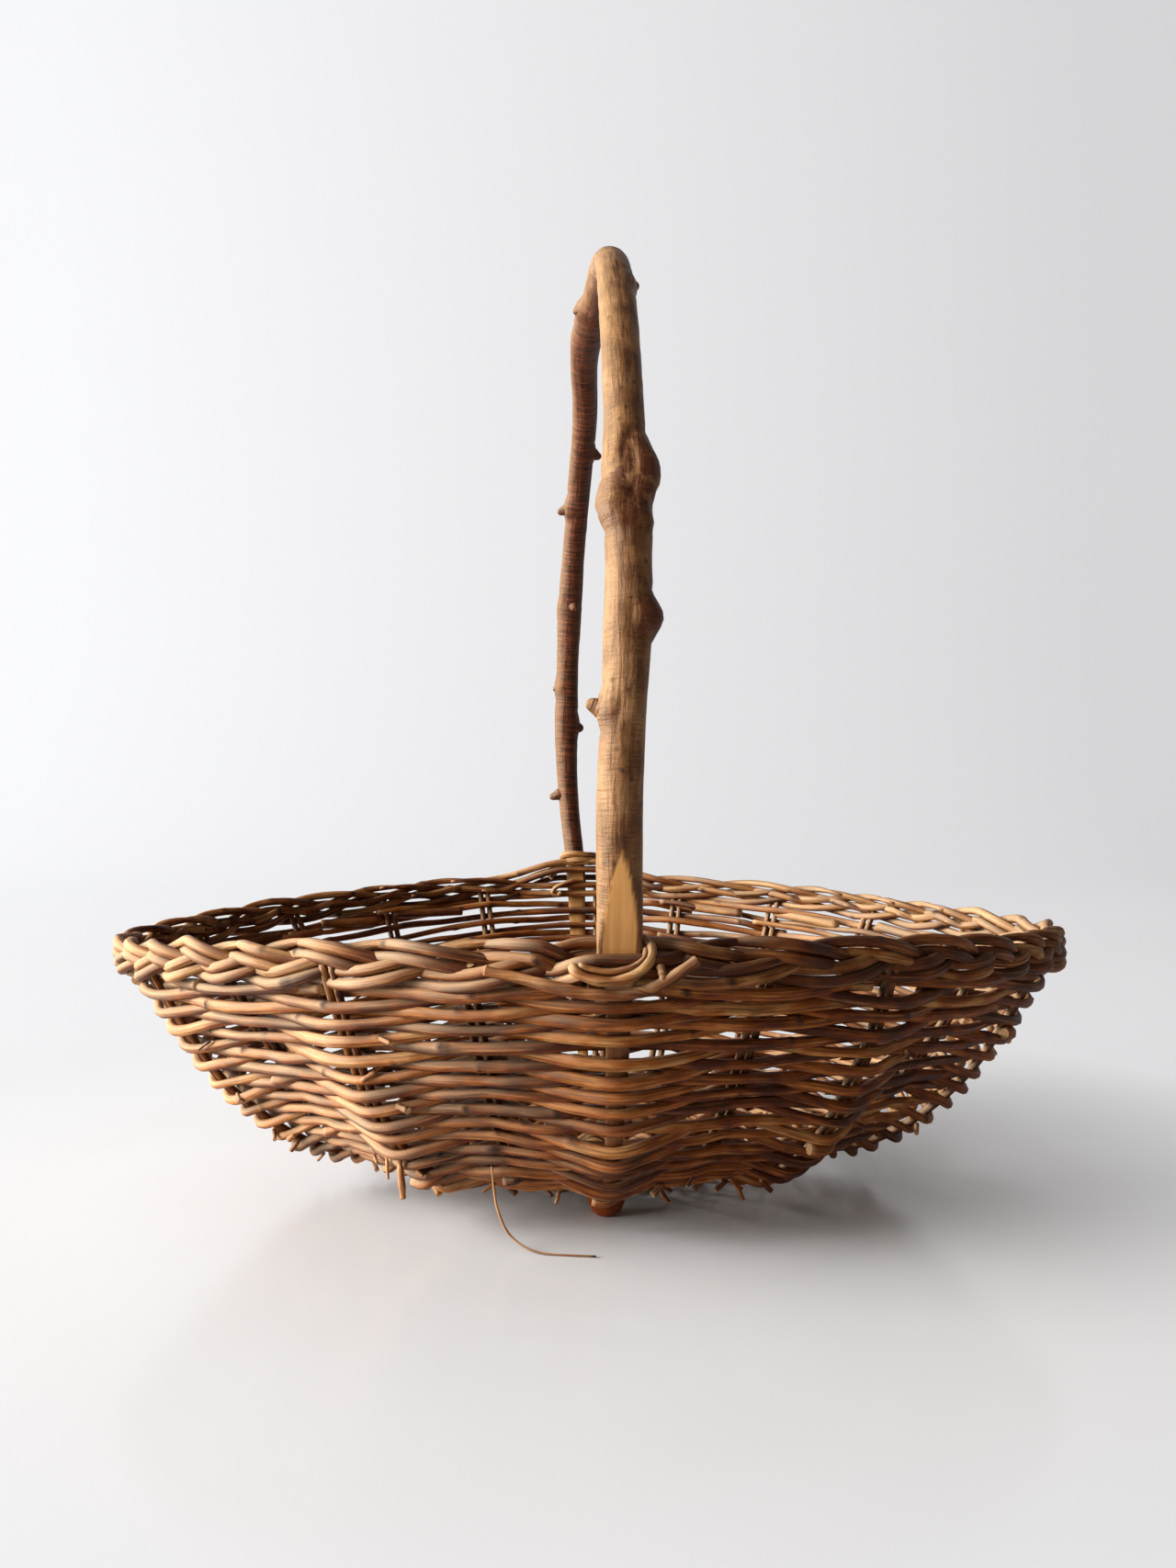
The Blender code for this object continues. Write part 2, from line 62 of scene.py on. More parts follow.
def add_object(name, data):
    """Put a mesh, a lamp or a camera into the scene, at the origin and unturned."""
    made = bpy.data.objects.new(name, data)
    bpy.context.scene.collection.objects.link(made)
    return made


camera = add_object("camera", bpy.data.cameras.new("camera"))
camera.data.sensor_width = 36.0
camera.data.lens = 31.63
camera.location = CAMERA_PLACE
camera.rotation_euler = (math.pi / 2 - CAMERA_DOWN, 0.0, -CAMERA_HEADING)
bpy.context.scene.camera = camera
bpy.context.scene.view_settings.view_transform = "Standard"
print("camera", CAMERA_PLACE, "lens", camera.data.lens)

# %% [markdown]
# ## Helpers for rods
#
# Woven rods need a few things over and over: a circle carried along a path, a smooth random
# wave and buds that make them uneven, and a way to put many such tubes into one mesh. Each tube
# also remembers where its points lay on the straight rod before it was woven. Grain that is
# drawn in those coordinates follows every bend and has no seam.

# %% Smooth random waves
TURN = 2 * math.pi


def wave(x, y=0.0, seed=0, cells=(64, 64)):
    """Smooth heights from -1 to 1: a random number at each whole grid point, and between the
    points a smoothstep blend of the four nearest. The pattern repeats after cells steps."""
    grid = np.random.default_rng(seed).uniform(-1, 1, cells)
    x, y = np.broadcast_arrays(np.asarray(x, float), np.asarray(y, float))
    i, j = np.floor(x).astype(int), np.floor(y).astype(int)
    u, v = x - i, y - j
    u, v = u * u * (3 - 2 * u), v * v * (3 - 2 * v)
    k, m = (i + 1) % cells[0], (j + 1) % cells[1]
    i, j = i % cells[0], j % cells[1]
    low = grid[i, j] * (1 - u) + grid[k, j] * u
    high = grid[i, m] * (1 - u) + grid[k, m] * u
    return low * (1 - v) + high * v


def smooth(x, low, high):
    """0 below low, 1 above high, and 3t^2 - 2t^3 between, where t is the share of the way."""
    t = np.clip((np.asarray(x, float) - low) / (high - low), 0, 1)
    return t * t * (3 - 2 * t)


print("wave sample", wave([0.5, 1.5, 2.5], seed=1).round(2))

# %% A circle carried along a path
def unit(vectors):
    """Divide each vector by its length."""
    return vectors / np.linalg.norm(vectors, axis=-1, keepdims=True)


def lengths(path):
    """Measure a path from its start to each of its points."""
    return np.concatenate([[0], np.cumsum(np.linalg.norm(np.diff(path, axis=0), axis=1))])


def ring_turns(sides):
    """Give the turn of each point of a ring, in equal steps."""
    return np.linspace(0, TURN, sides, endpoint=False)


def sweep(path, radius, reference, sides=8):
    """Point = centre + radius * (cos(turn) * out + sin(turn) * side). Side is at right angles to
    the path and to the reference direction, and out is at right angles to side and path. The
    rod's own coordinates are its length so far, radius * cos(turn) and radius * sin(turn)."""
    forward = unit(np.gradient(path, axis=0))
    side = unit(np.cross(forward, reference))
    out = np.cross(side, forward)
    turn = ring_turns(sides)
    radius = np.broadcast_to(np.asarray(radius, float).T, (sides, len(path))).T
    ring = out[:, None] * np.cos(turn)[:, None] + side[:, None] * np.sin(turn)[:, None]
    along = np.broadcast_to(lengths(path)[:, None], radius.shape)
    own = np.stack([along, radius * np.cos(turn), radius * np.sin(turn)], axis=-1)
    return path[:, None] + ring * radius[..., None], own


print("four turns of a ring:", ring_turns(4).round(2))

# %% Buds on a rod
BUD_SPACING, BUD_LENGTH = 0.046, 0.0022


def rod(path, radius, reference, tone, seed, sides=8, size=0.32):
    """A swept rod with buds: bud = exp(-(distance along / bud length)^2) * cos(turn away from the
    bud)^2, on a side that is drawn anew for each bud. The radius grows by a share of the bud."""
    count = lengths(path) / BUD_SPACING + seed * 0.37
    count = count + 0.3 * wave(count * 0.6, seed=seed)
    nearest = np.round(count)
    side = 5.0 * wave(nearest * 0.71 + 0.5, seed=seed + 7)
    facing = np.clip(np.cos(ring_turns(sides)[None] - side[:, None]), 0, 1) ** 2
    bud = np.exp(-((count - nearest) * BUD_SPACING / BUD_LENGTH) ** 2)[:, None] * facing
    return (*sweep(path, radius[:, None] * (1 + size * bud), reference, sides), tone, bud)


print("buds every", round(BUD_SPACING * 1000), "mm")

# %% Many tubes in one mesh
TO_WINDOW = np.array([-0.88, -0.2, 0.43])
TONE_SHIFT = 37.0


def store(mesh, name, values, kind="FLOAT", key="value"):
    """Keep a number, or a vector, for each point of a mesh under a name."""
    values = np.asarray(values, np.float32).ravel()
    mesh.attributes.new(name, kind, "POINT").data.foreach_set(key, values)


def make_piece(name, tubes, materials, nodes, closed=False):
    """Join tubes into one mesh. A tube is its grid of points, its own coordinates, a tone from 0
    to 1 for its colour, and how much of a bud each point belongs to, which on the branch also
    carries painted shade. Faces run round each ring and along the tube, and a flat face with the
    second material closes each end. The painted-light attribute grows with the part of the normal
    that points to the window: the materials paint that side of each rod paler, a painted highlight."""
    points, places, tones, buds, faces, caps = [], [], [], [], [], []
    start = 0
    for grid, own, tone, bud in tubes:
        shape = grid.shape[:2]
        number = start + np.arange(shape[0] * shape[1]).reshape(shape)
        turned = np.roll(number, -1, axis=1)
        ahead, ahead_turned = np.roll(number, -1, axis=0), np.roll(turned, -1, axis=0)
        quads = np.stack([number, turned, ahead_turned, ahead], axis=-1)
        faces += (quads if closed else quads[:-1]).reshape(-1, 4).tolist()
        if not closed:
            caps += [number[0][::-1].tolist(), number[-1].tolist()]
        points.append(grid.reshape(-1, 3))
        places.append((own + np.array([float(np.mean(tone)) * TONE_SHIFT, 0, 0])).ravel())
        tones.append(np.broadcast_to(tone, shape).ravel())
        buds.append(np.broadcast_to(bud, shape).ravel())
        start += number.size
    mesh = bpy.data.meshes.new(name)
    mesh.from_pydata(np.concatenate(points).tolist(), [], faces + caps)
    normals = np.empty(3 * len(mesh.vertices), np.float32)
    mesh.vertex_normals.foreach_get("vector", normals)
    store(mesh, "rod_place", np.concatenate(places), "FLOAT_VECTOR", "vector")
    store(mesh, "rod_tone", np.concatenate(tones))
    store(mesh, "rod_bud_and_shade", np.concatenate(buds))
    store(mesh, "rod_painted_light", smooth(normals.reshape(-1, 3) @ TO_WINDOW, 0.25, 1.05))
    is_cap = np.arange(len(faces) + len(caps)) >= len(faces)
    mesh.polygons.foreach_set("material_index", is_cap.astype(np.int32))
    mesh.polygons.foreach_set("use_smooth", ~is_cap)
    for finish in materials:
        mesh.materials.append(finish)
    made = add_object(name, mesh)
    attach(made, "root")
    if nodes:
        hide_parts(*nodes)
    print(f"{name}: {len(tubes)} tubes, {len(faces)} faces")

# %% [markdown]
# ## Willow
#
# The rods are willow, dried with its skin on and handled for years. That leaves a brown skin
# with a soft shine, paler streaks along the rod where it has worn, and a dark scar wherever a
# bud sat. A rod's colour differs from its neighbour's, so each tube carries a tone. Flat colour
# could be mixed with noise in object space, but then streaks would cut across the bends. Here
# the noise reads the rod's own coordinates, stretched along the rod: a streak is about 0.8 mm
# wide and 60 mm long. The cut ends are bare wood.

# %% Colours and nodes
def linear(code):
    """Turn an sRGB hex colour to linear: c / 12.92 below 0.04045, else ((c + 0.055) / 1.055)^2.4."""
    values = np.array([int(code[i:i + 2], 16) for i in (1, 3, 5)]) / 255
    bent = np.where(values <= 0.04045, values / 12.92, ((values + 0.055) / 1.055) ** 2.4)
    return (*bent, 1.0)


def set_inputs(node, inputs):
    """Link or set a node's inputs, given as pairs of a socket and a value."""
    for socket, value in inputs:
        if isinstance(value, bpy.types.NodeSocket):
            node.id_data.links.new(value, node.inputs[socket])
        else:
            node.inputs[socket].default_value = value


def add_node(tree, kind, inputs=(), **settings):
    """Add one node with its settings and its inputs."""
    made = tree.nodes.new(kind)
    for name, value in settings.items():
        setattr(made, name, value)
    set_inputs(made, inputs)
    return made


def new_material(name):
    """Make an empty node material and give its tree and its Principled shader."""
    made = bpy.data.materials.new(name)
    made.use_nodes = True
    return made, made.node_tree, made.node_tree.nodes["Principled BSDF"]


print("willow brown in linear:", np.round(linear("#8A5A34"), 3))

# %% [markdown]
# Six kinds of node do most of the work, so each gets a short name. Every one takes sockets or
# plain numbers and gives back its output socket. A socket knows the tree it is in, as id_data.

# %% Short names for nodes
def attribute(tree, name, output="Fac"):
    """Read what a mesh stores on its points: Fac for a number, Vector for three."""
    return add_node(tree, "ShaderNodeAttribute", attribute_name=name).outputs[output]


def noise(vector, scale, detail=2.0, roughness=0.5):
    """Noise of one fineness per metre, or of three, which stretch it along the axes."""
    tree = vector.id_data
    if not isinstance(scale, float):
        vector = add_node(tree, "ShaderNodeMapping", [(0, vector), (3, scale)]).outputs[0]
        scale = 1.0
    return add_node(tree, "ShaderNodeTexNoise", [
        ("Vector", vector), ("Scale", scale), ("Detail", detail), ("Roughness", roughness)]).outputs[0]


def remap(value, low=0.0, high=1.0, start=0.0, end=1.0, **settings):
    """Carry low to high over to start to end along a straight line, and stay level beyond."""
    return add_node(value.id_data, "ShaderNodeMapRange", [
        ("Value", value), ("From Min", low), ("From Max", high), ("To Min", start), ("To Max", end),
    ], **settings).outputs[0]


def maths(operation, first, *others, **settings):
    """Combine a socket with other sockets or numbers."""
    inputs = list(enumerate((first, *others)))
    return add_node(first.id_data, "ShaderNodeMath", inputs, operation=operation, **settings).outputs[0]


def mix(factor, one, two):
    """Blend two colours, each a socket or an sRGB hex code: factor 0 is the first."""
    one, two = (linear(shade) if isinstance(shade, str) else shade for shade in (one, two))
    inputs = [("Factor", factor), (6, one), (7, two)]
    return add_node(factor.id_data, "ShaderNodeMix", inputs, data_type="RGBA").outputs[2]


def bump(height, strength, distance, below=()):
    """Tilt the normal by the slope of a height, on top of an earlier bump if one is given."""
    inputs = [("Height", height), ("Strength", strength), ("Distance", distance), *below]
    return add_node(height.id_data, "ShaderNodeBump", inputs).outputs[0]


print("short names:", [made.__name__ for made in (attribute, noise, remap, maths, mix, bump)])

# %% Willow with its skin on
def make_willow(name, shades, worn_shade, roughness):
    """Pick a shade from the rod's tone and a slow noise, darken the grooves, lighten the worn
    ridges, paint the side that faces the window paler as a painted highlight, and darken the buds."""
    made, tree, shader = new_material(name)
    place = attribute(tree, "rod_place", "Vector")
    streak = noise(place, (26, 900, 900), 4.0, 0.65)
    patch = noise(place, (60, 190, 190), 3.0)
    pick = maths("ADD", attribute(tree, "rod_tone"), remap(patch, 0.3, 0.7, -0.4, 0.4), use_clamp=True)
    body = add_node(tree, "ShaderNodeValToRGB", [(0, pick)])
    stops = body.color_ramp.elements
    while len(stops) < len(shades):
        stops.new(0.5)
    for number, (stop, shade) in enumerate(zip(stops, shades)):
        stop.position, stop.color = number / (len(shades) - 1), linear(shade)
    grooved = mix(remap(streak, 0.36, 0.54, 0.75, 0.0), body.outputs[0], "#3A1D0D")
    worn = maths("MULTIPLY", remap(streak, 0.54, 0.72, 0.0, 0.8), patch)
    streaked = mix(worn, grooved, worn_shade)
    # Painted highlight: the side of each rod that faces the window is mixed towards pale tan.
    painted_light_share = maths("MULTIPLY", attribute(tree, "rod_painted_light"), 0.46)
    with_painted_highlight = mix(painted_light_share, streaked, "#DCBE96")
    scar = remap(attribute(tree, "rod_bud_and_shade"), 0.15, 0.75, 0.0, 0.85)
    set_inputs(shader, [
        ("Base Color", mix(scar, with_painted_highlight, "#22110A")),
        ("Roughness", remap(patch, 0.0, 1.0, roughness - 0.1, roughness + 0.14)),
        ("Normal", bump(streak, 0.9, 0.0011)),
        ("Specular IOR Level", 0.16),
    ])
    return made


# Siding is the warmest brown, stakes are darker, as less of them was handled, and the border's
# rods are the most worn.
siding_willow = make_willow(
    "aged_willow_skin", ("#451A06", "#6C310B", "#874511", "#9D5A22", "#B07A45"), "#CB9C68", 0.5)
stake_willow = make_willow(
    "stake_willow_skin", ("#3A1604", "#582607", "#6D350D", "#844B19"), "#A97B48", 0.52)
border_willow = make_willow(
    "border_willow_skin", ("#421B07", "#602E0E", "#753F16", "#8B5628", "#A27444"), "#C49A6C", 0.48)

# %% Bare wood at the cut ends
# A cut end is bare pale wood without a shine, so each end reads as a small light dot.
cut_willow, tree, shader = new_material("cut_willow_end")
where = add_node(tree, "ShaderNodeTexCoord").outputs["Object"]
set_inputs(shader, [
    ("Base Color", mix(noise(where, 900.0), "#8E6238", "#D2A877")), ("Roughness", 0.75)])
print("materials so far:", len(bpy.data.materials))

# %% [markdown]
# ## The bowl's middle surface
#
# A weaver's rods pass in front of one stake and behind the next, so all of them lie close to one
# surface. It starts at the oval edge of the base, flares quickly and then climbs more steeply to
# the rim. The rim is an oval whose flanks are pinched towards its two tips, which dip a little.
# The surface is computed once as a table of points, with its normals, and is read by blending.

# %% Sizes of the bowl, in metres, as in the CAD model
RIM_HALF_LENGTH, RIM_HALF_WIDTH, RIM_HEIGHT = 0.249, 0.174, 0.139
RIM_TIP_DROP, RIM_PINCH = 0.016, 0.25
BASE_HALF_LENGTH, BASE_HALF_WIDTH, BASE_EDGE_HEIGHT = 0.108, 0.081, 0.0215
SIDE_FLARE, TIP_FLARE = 0.47, 0.52
PLACES = 20
SCALLOP = 0.0038
STEPS, LEVELS = 16, 81


def rim_plan(turn):
    """x = half length * sin(turn), y = -half width * cos(turn) * (1 - pinch * sin(turn)^2)."""
    y = -RIM_HALF_WIDTH * np.cos(turn) * (1 - RIM_PINCH * np.sin(turn) ** 2)
    return RIM_HALF_LENGTH * np.sin(turn), y


print("rim, a quarter of the way round:", rim_plan(math.pi / 2))

# %% The surface as a table
def surface_frame(points):
    """Give the direction round the bowl, and the normal that is at right angles to it."""
    around = unit(np.gradient(points, axis=0))
    return around, unit(np.cross(around, np.gradient(points, axis=1)))


def bowl_table():
    """Along each place's slope, height share = outward share ^ (1 / flare). Points are then taken
    at equal lengths along the slope. The wall swells out at even places and is drawn in at odd
    ones: swell = (arc + 0.4 * peak) * depth. The arc is 2 * |cos(quarter turn * place)| - 1.1 with
    its kink softened, the peak is a narrow bell at each even place, and the depth differs from
    rib to rib. The swell is greatest below the middle of the slope and is 0 at both its ends."""
    turns = np.linspace(-0.5, TURN + 0.5, 2001)
    length = lengths(np.column_stack(rim_plan(turns)))
    zero, whole = np.interp([0, TURN], turns, length)
    place = np.arange(-STEPS, (PLACES + 1) * STEPS + 1) / STEPS
    turn = np.interp(zero + place / PLACES * (whole - zero), length, turns)[:, None]
    angle = (TURN * place / PLACES)[:, None]
    out = np.linspace(0, 1, 161)[None]
    rim_x, rim_y = rim_plan(turn)
    base_x, base_y = BASE_HALF_LENGTH * np.sin(angle), -BASE_HALF_WIDTH * np.cos(angle)
    rim_z = RIM_HEIGHT - RIM_TIP_DROP * np.sin(turn) ** 2
    flare = SIDE_FLARE + (TIP_FLARE - SIDE_FLARE) * np.sin(turn) ** 2
    dense = np.stack([
        base_x + (rim_x - base_x) * out,
        base_y + (rim_y - base_y) * out,
        BASE_EDGE_HEIGHT + (rim_z - BASE_EDGE_HEIGHT) * out ** (1 / flare),
    ], axis=-1)
    steps = np.linalg.norm(np.diff(dense, axis=1), axis=2)
    run = np.concatenate([np.zeros((len(place), 1)), np.cumsum(steps, axis=1)], axis=1)
    share = np.linspace(0, 1, LEVELS)
    points = np.array([
        [np.interp(share * r[-1], r, line[:, axis]) for axis in range(3)] for r, line in zip(run, dense)
    ]).transpose(0, 2, 1)
    normal = surface_frame(points)[1]
    lumps = 0.0011 * wave(place[:, None] * 1.6, share[None] * 5, seed=5, cells=(32, 64))
    arc = 2 * np.sqrt(np.cos(math.pi / 2 * place) ** 2 + 0.010) - 1.1
    peak = np.exp(-((place + 1) % 2 - 1) ** 2 / 0.04)
    deep = 1 + 0.4 * wave(place * 0.5, seed=8, cells=(PLACES // 2, 64))
    swell = SCALLOP * ((arc + 0.4 * peak) * deep)[:, None] * (1.75 - share)
    points = points + normal * ((swell + lumps) * 4 * share * (1 - share))[..., None]
    around, normal = surface_frame(points)
    keep = slice(STEPS, STEPS + PLACES * STEPS)
    return np.concatenate([points, around, normal], axis=2)[keep], run[keep, -1]


BOWL, SLOPE_LENGTH = bowl_table()
print("slope lengths in mm:", (SLOPE_LENGTH.min() * 1000).round(1), (SLOPE_LENGTH.max() * 1000).round(1))

# %% Reading the surface
def bowl(place, rise):
    """Blend the table's four nearest entries: the point, the direction round, and the normal."""
    x = np.mod(np.asarray(place, float), PLACES) * STEPS
    y = np.asarray(rise, float) * (LEVELS - 1)
    i, j = np.floor(x).astype(int), np.clip(np.floor(y).astype(int), 0, LEVELS - 2)
    u, v = (x - i)[..., None], (y - j)[..., None]
    i, k = i % len(BOWL), (i + 1) % len(BOWL)
    low = BOWL[i, j] * (1 - u) + BOWL[k, j] * u
    high = BOWL[i, j + 1] * (1 - u) + BOWL[k, j + 1] * u
    found = low * (1 - v) + high * v
    return found[..., :3], unit(found[..., 3:6]), unit(found[..., 6:9])


def slope_length(place):
    """Read how long the wall's slope is at a place."""
    x = np.mod(np.asarray(place, float), PLACES) * STEPS
    return np.interp(x, np.arange(len(SLOPE_LENGTH) + 1), np.append(SLOPE_LENGTH, SLOPE_LENGTH[0]))


print("rim at the near leg:", bowl(0.0, 1.0)[0].round(4))

# %% [markdown]
# ## Stakes
#
# Stakes are the upright rods that everything is woven round. Here they stand in pairs, two thin
# rods side by side, at eighteen of twenty places. The handle's two ends take the other places,
# and one more pair stands close beside the far end. A pair could be one flat strip, but the
# light that falls between the two rods is what makes them read as rods.

# %% Stakes
STAKE_FOOT, STAKE_TOP = 0.0021, 0.0017
NEAR, FAR = 0, PLACES // 2
rng = np.random.default_rng(11)


def stake_radius(rise):
    """Taper from foot to top along a straight line."""
    return STAKE_FOOT + (STAKE_TOP - STAKE_FOOT) * np.clip(rise, 0, 1)


def make_stake_pair(place):
    """Centre = the bowl's surface, moved half a gap to each side along the direction round it."""
    rise = np.linspace(-0.03, 1.0, 48)
    tubes = []
    for side in (-1, 1):
        number = int(rng.integers(1000))
        point, around, normal = bowl(place + 0.0 * rise, rise)
        radius = stake_radius(rise) * (1 + 0.05 * wave(rise * 9, seed=number))
        gap = side * (stake_radius(rise) + 0.0002 + 0.0004 * (1 + wave(rise * 4, seed=number + 1)))
        drift = 0.0003 * wave(rise * 5, seed=number + 2)
        path = point + around * gap[:, None] + normal * drift[:, None]
        tubes.append(rod(path, radius, normal, rng.uniform(), number, size=0.2))
    return tubes


stake_tubes = []
for place in range(PLACES):
    if place not in (NEAR, FAR):
        stake_tubes += make_stake_pair(place)
stake_tubes += make_stake_pair(FAR - 0.2)
make_piece("stake_pairs", stake_tubes, [stake_willow, cut_willow],
           [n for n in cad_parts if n.startswith("stake_pair")])

# %% [markdown]
# ## Siding
#
# The wall is woven in rounds. In each round a rod goes out past one stake and in past the next,
# and the next round does the reverse. A rod is thick at its butt and thin at its tip, and where
# one runs out the next is laid in, so each round is two or three rods with their ends tucked
# behind a stake. A closed ring for each round would be simpler, but it would lose the taper, the
# ends and the change of colour from rod to rod.

# %% One woven rod
ROUNDS = 32
SIDING_TOP, FAR_CLIMB, FAR_LIFT = 0.0098, 0.006, 0.0014
BUTT, TIP = 0.00292, 0.00222
SAMPLES = 20


def far_bell(place, width, power=4):
    """Bell round the far leg: exp(-(places away / width)^power)."""
    from_far = (place - FAR + PLACES / 2) % PLACES - PLACES / 2
    return np.exp(-(from_far / width) ** power)


def siding_rise(place, share):
    """Rise = share to a power, ending under the border. The power goes from 1 at the near leg to
    1.14 at the far leg, so the upper rounds lie further apart there. They also climb with the
    border: a narrow bell beside the leg, and a low wide one over the far wall."""
    top = SIDING_TOP - FAR_CLIMB * far_bell(place, 1.5, 2) - FAR_LIFT * far_bell(place, 5)
    power = 1.07 - 0.07 * np.cos(TURN * place / PLACES)
    return 0.001 + np.clip(share, 0, None) ** power * (1 - top / slope_length(place))


def weave_rod(number, start, end, outside):
    """Depth = reach * softened cos(pi * (place + round)), and reach is about the stake's radius
    plus the rod's. Near each end the depth slides over to the side where the end is tucked. The
    radius falls from butt to tip, grows from round to round, and is less on the far side."""
    seed = int(rng.integers(10000))
    place = np.linspace(start - 0.16, end + 0.16, int((end - start + 0.32) * SAMPLES) + 1)
    share = (place - start) / (end - start)
    sway = 0.45 * wave(place * 0.9, number * 0.3, seed=3) + 0.16 * wave(place * 2.1, seed=seed)
    rise = siding_rise(place, (number + 0.5 + sway) / ROUNDS)
    point, around, normal = bowl(place, rise)
    upward = np.cross(normal, around)
    radius = BUTT + (TIP - BUTT) * np.clip(share, 0, 1) ** 1.3
    radius = radius * (0.80 + 0.29 * number / ROUNDS) * (1 + 0.08 * wave(place * 4, seed=seed + 1))
    radius = radius * (1 - 0.30 * far_bell(place, 5.5) * number / ROUNDS)
    soft = np.arcsin(0.88 * np.cos(math.pi * (place + number))) / math.asin(0.88)
    reach = stake_radius(rise) + 0.9 * radius
    depth = reach * soft
    tucked = (1 if outside else -1) * (stake_radius(rise) + radius + 0.0012)
    near_start = 1 - smooth(place, start - 0.05, start + 0.3)
    near_end = smooth(place, end - 0.3, end + 0.05)
    depth = depth + (tucked - depth) * near_start - (reach + depth) * near_end
    lift = 0.0014 * near_end - 0.0014 * near_start
    depth = depth + 0.0004 * wave(place * 3.7, seed=seed + 2)
    lift = lift + 0.00045 * wave(place * 2.9, seed=seed + 4)
    path = point + normal * depth[:, None] + upward * lift[:, None]
    return rod(path, radius, normal, 0.08 + 0.8 * rng.uniform() ** 1.2, seed)


print("rods of", round(2000 * BUTT, 1), "mm at the butt and", round(2000 * TIP, 1), "mm at the tip")

# %% Rounds of siding
def weave_round(number):
    """Cut the round at two or three places where it passes inside, and lay a rod over each part."""
    inner = [p for p in range(PLACES) if (p + number) % 2 == 1]
    count = 2 if number < ROUNDS // 3 else 3
    first = int(rng.integers(len(inner)))
    cuts = [first + round(len(inner) * k / count + rng.uniform(-0.8, 0.8)) for k in range(count)]
    cuts[0] = first
    cuts.append(first + len(inner))
    return [
        weave_rod(number, inner[0] + 2 * a, inner[0] + 2 * b, rng.uniform() < 0.3)
        for a, b in zip(cuts, cuts[1:])
    ]


rows = sorted(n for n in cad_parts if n.startswith("weaver_row"))
third = len(rows) // 3
for name, low, high, stand_for in (
    ("siding_lower", 0, ROUNDS // 3, rows[:third]),
    ("siding_middle", ROUNDS // 3, 2 * ROUNDS // 3, rows[third:2 * third]),
    ("siding_upper", 2 * ROUNDS // 3, ROUNDS, rows[2 * third:]),
):
    tubes = [rod for number in range(low, high) for rod in weave_round(number)]
    make_piece(name, tubes, [siding_willow, cut_willow], stand_for)

# %% [markdown]
# ## Border
#
# The stakes' upper ends are bent over and plaited along the rim. Seen from the side it is a
# plait of three strands, and each strand is two rods side by side. One period of a three-strand
# plait is a slow swing up and down with a swing in and out at twice that pace. At the handle's
# legs one strand passes outside the branch and two pass inside it.

# %% Path of one strand
CYCLES, CROWDING = 11, 0.3
BAND_RISE, BAND_DEPTH, BAND_SET_IN = 0.0060, 0.0035, 0.0013
BORDER_ROD = 0.0027
GRIP = 0.0039
PLACE_LENGTH = 0.0685


def far_side(place):
    """Fade from 0 on the near half to 1 on the far half, where the rods are thinner and looser."""
    return smooth(-np.cos(TURN * place / PLACES), -0.05, 0.75)


def leg_offset(place):
    """Count the places from here to the nearer handle leg, with a sign."""
    return (place + FAR / 2) % FAR - FAR / 2


def rim_frame(place):
    """Give the rim's point, the direction round it, and the level direction outwards."""
    point, around, _ = bowl(place, np.ones_like(place))
    outward = unit(np.stack([around[:, 1], -around[:, 0], np.zeros(len(place))], axis=1))
    return point, around, outward


def plait_turns(place):
    """Turns of the plait up to a place: quicker at the bowl's two tips than at the legs."""
    return CYCLES * (place / PLACES - CROWDING / (4 * math.pi) * np.sin(4 * math.pi * place / PLACES))


def strand_swing(strand, place):
    """Height = rise * sin(phase) and depth = -depth * sin(2 phase), and the three phases are a
    third of a turn apart. Beside a leg both slide over to the strand's own way past it. At the
    thin far leg the strands also climb up the branch, and both swings are less on the far side."""
    phase = TURN * (plait_turns(place) + strand / 3) - math.pi / 4
    near_leg = np.abs((place + FAR / 2) % PLACES - FAR / 2) < FAR / 2
    loose = far_side(place)
    parted = 1 - smooth(np.abs(leg_offset(place)), 0.16, np.where(near_leg, 0.52, 0.85))
    stacked = 2.02 * BORDER_ROD * (0, 1, -1)[strand]
    stacked = np.where(near_leg, stacked, (0.0075, -0.0020, 0.0135)[strand])
    past = (1 if strand == 0 else -1) * (GRIP + BORDER_ROD + 0.0004)
    height = BAND_RISE * np.sin(phase) * (1 + 0.25 * wave(place * 0.6, seed=strand + 61))
    height = height * (1 - 0.28 * loose)
    depth = -BAND_DEPTH * np.sin(2 * phase) * (1 - 0.2 * loose) - BAND_SET_IN
    return height + (stacked - height) * parted, depth + (past - depth) * parted


print("strand 0 at the near leg:", [float(v[0].round(4)) for v in strand_swing(0, np.zeros(1))])

# %% Rods of the border
def border_rod(strand, side, start, end):
    """Lay one rod beside its fellow, half a gap off the strand's path and at right angles to it.
    Its two ends dive inwards, where the next rod's end covers them. It is thinner on the far
    side. The slant is the angle of the strand's climb along the rim."""
    seed = int(rng.integers(10000))
    place = np.linspace(start - 0.14, end + 0.14, int((end - start) * 22))
    point, around, outward = rim_frame(place)
    height, depth = strand_swing(strand, place)
    slant = np.arctan2(np.gradient(height), np.gradient(place) * PLACE_LENGTH)
    offset = side * BORDER_ROD * (1.0 + 0.07 * wave(place * 2, seed=seed))
    dive = 1 - smooth(place, start - 0.14, start + 0.3) + smooth(place, end - 0.3, end + 0.14)
    depth = depth - 0.0030 * dive + 0.0004 * wave(place * 2.5, seed=seed + 1)
    height = height + offset * np.cos(slant) + 0.0004 * wave(place * 2.2, seed=seed + 2)
    path = point + outward * depth[:, None] - around * (offset * np.sin(slant))[:, None]
    path[:, 2] += height
    radius = BORDER_ROD * (1 + 0.07 * wave(place * 3, seed=seed + 3)) * (1 - 0.24 * far_side(place))
    radius = radius * (1 - 0.62 * np.clip(dive, 0, 1) ** 2)
    return rod(path, radius, outward, rng.uniform(), seed, sides=10, size=0.28)


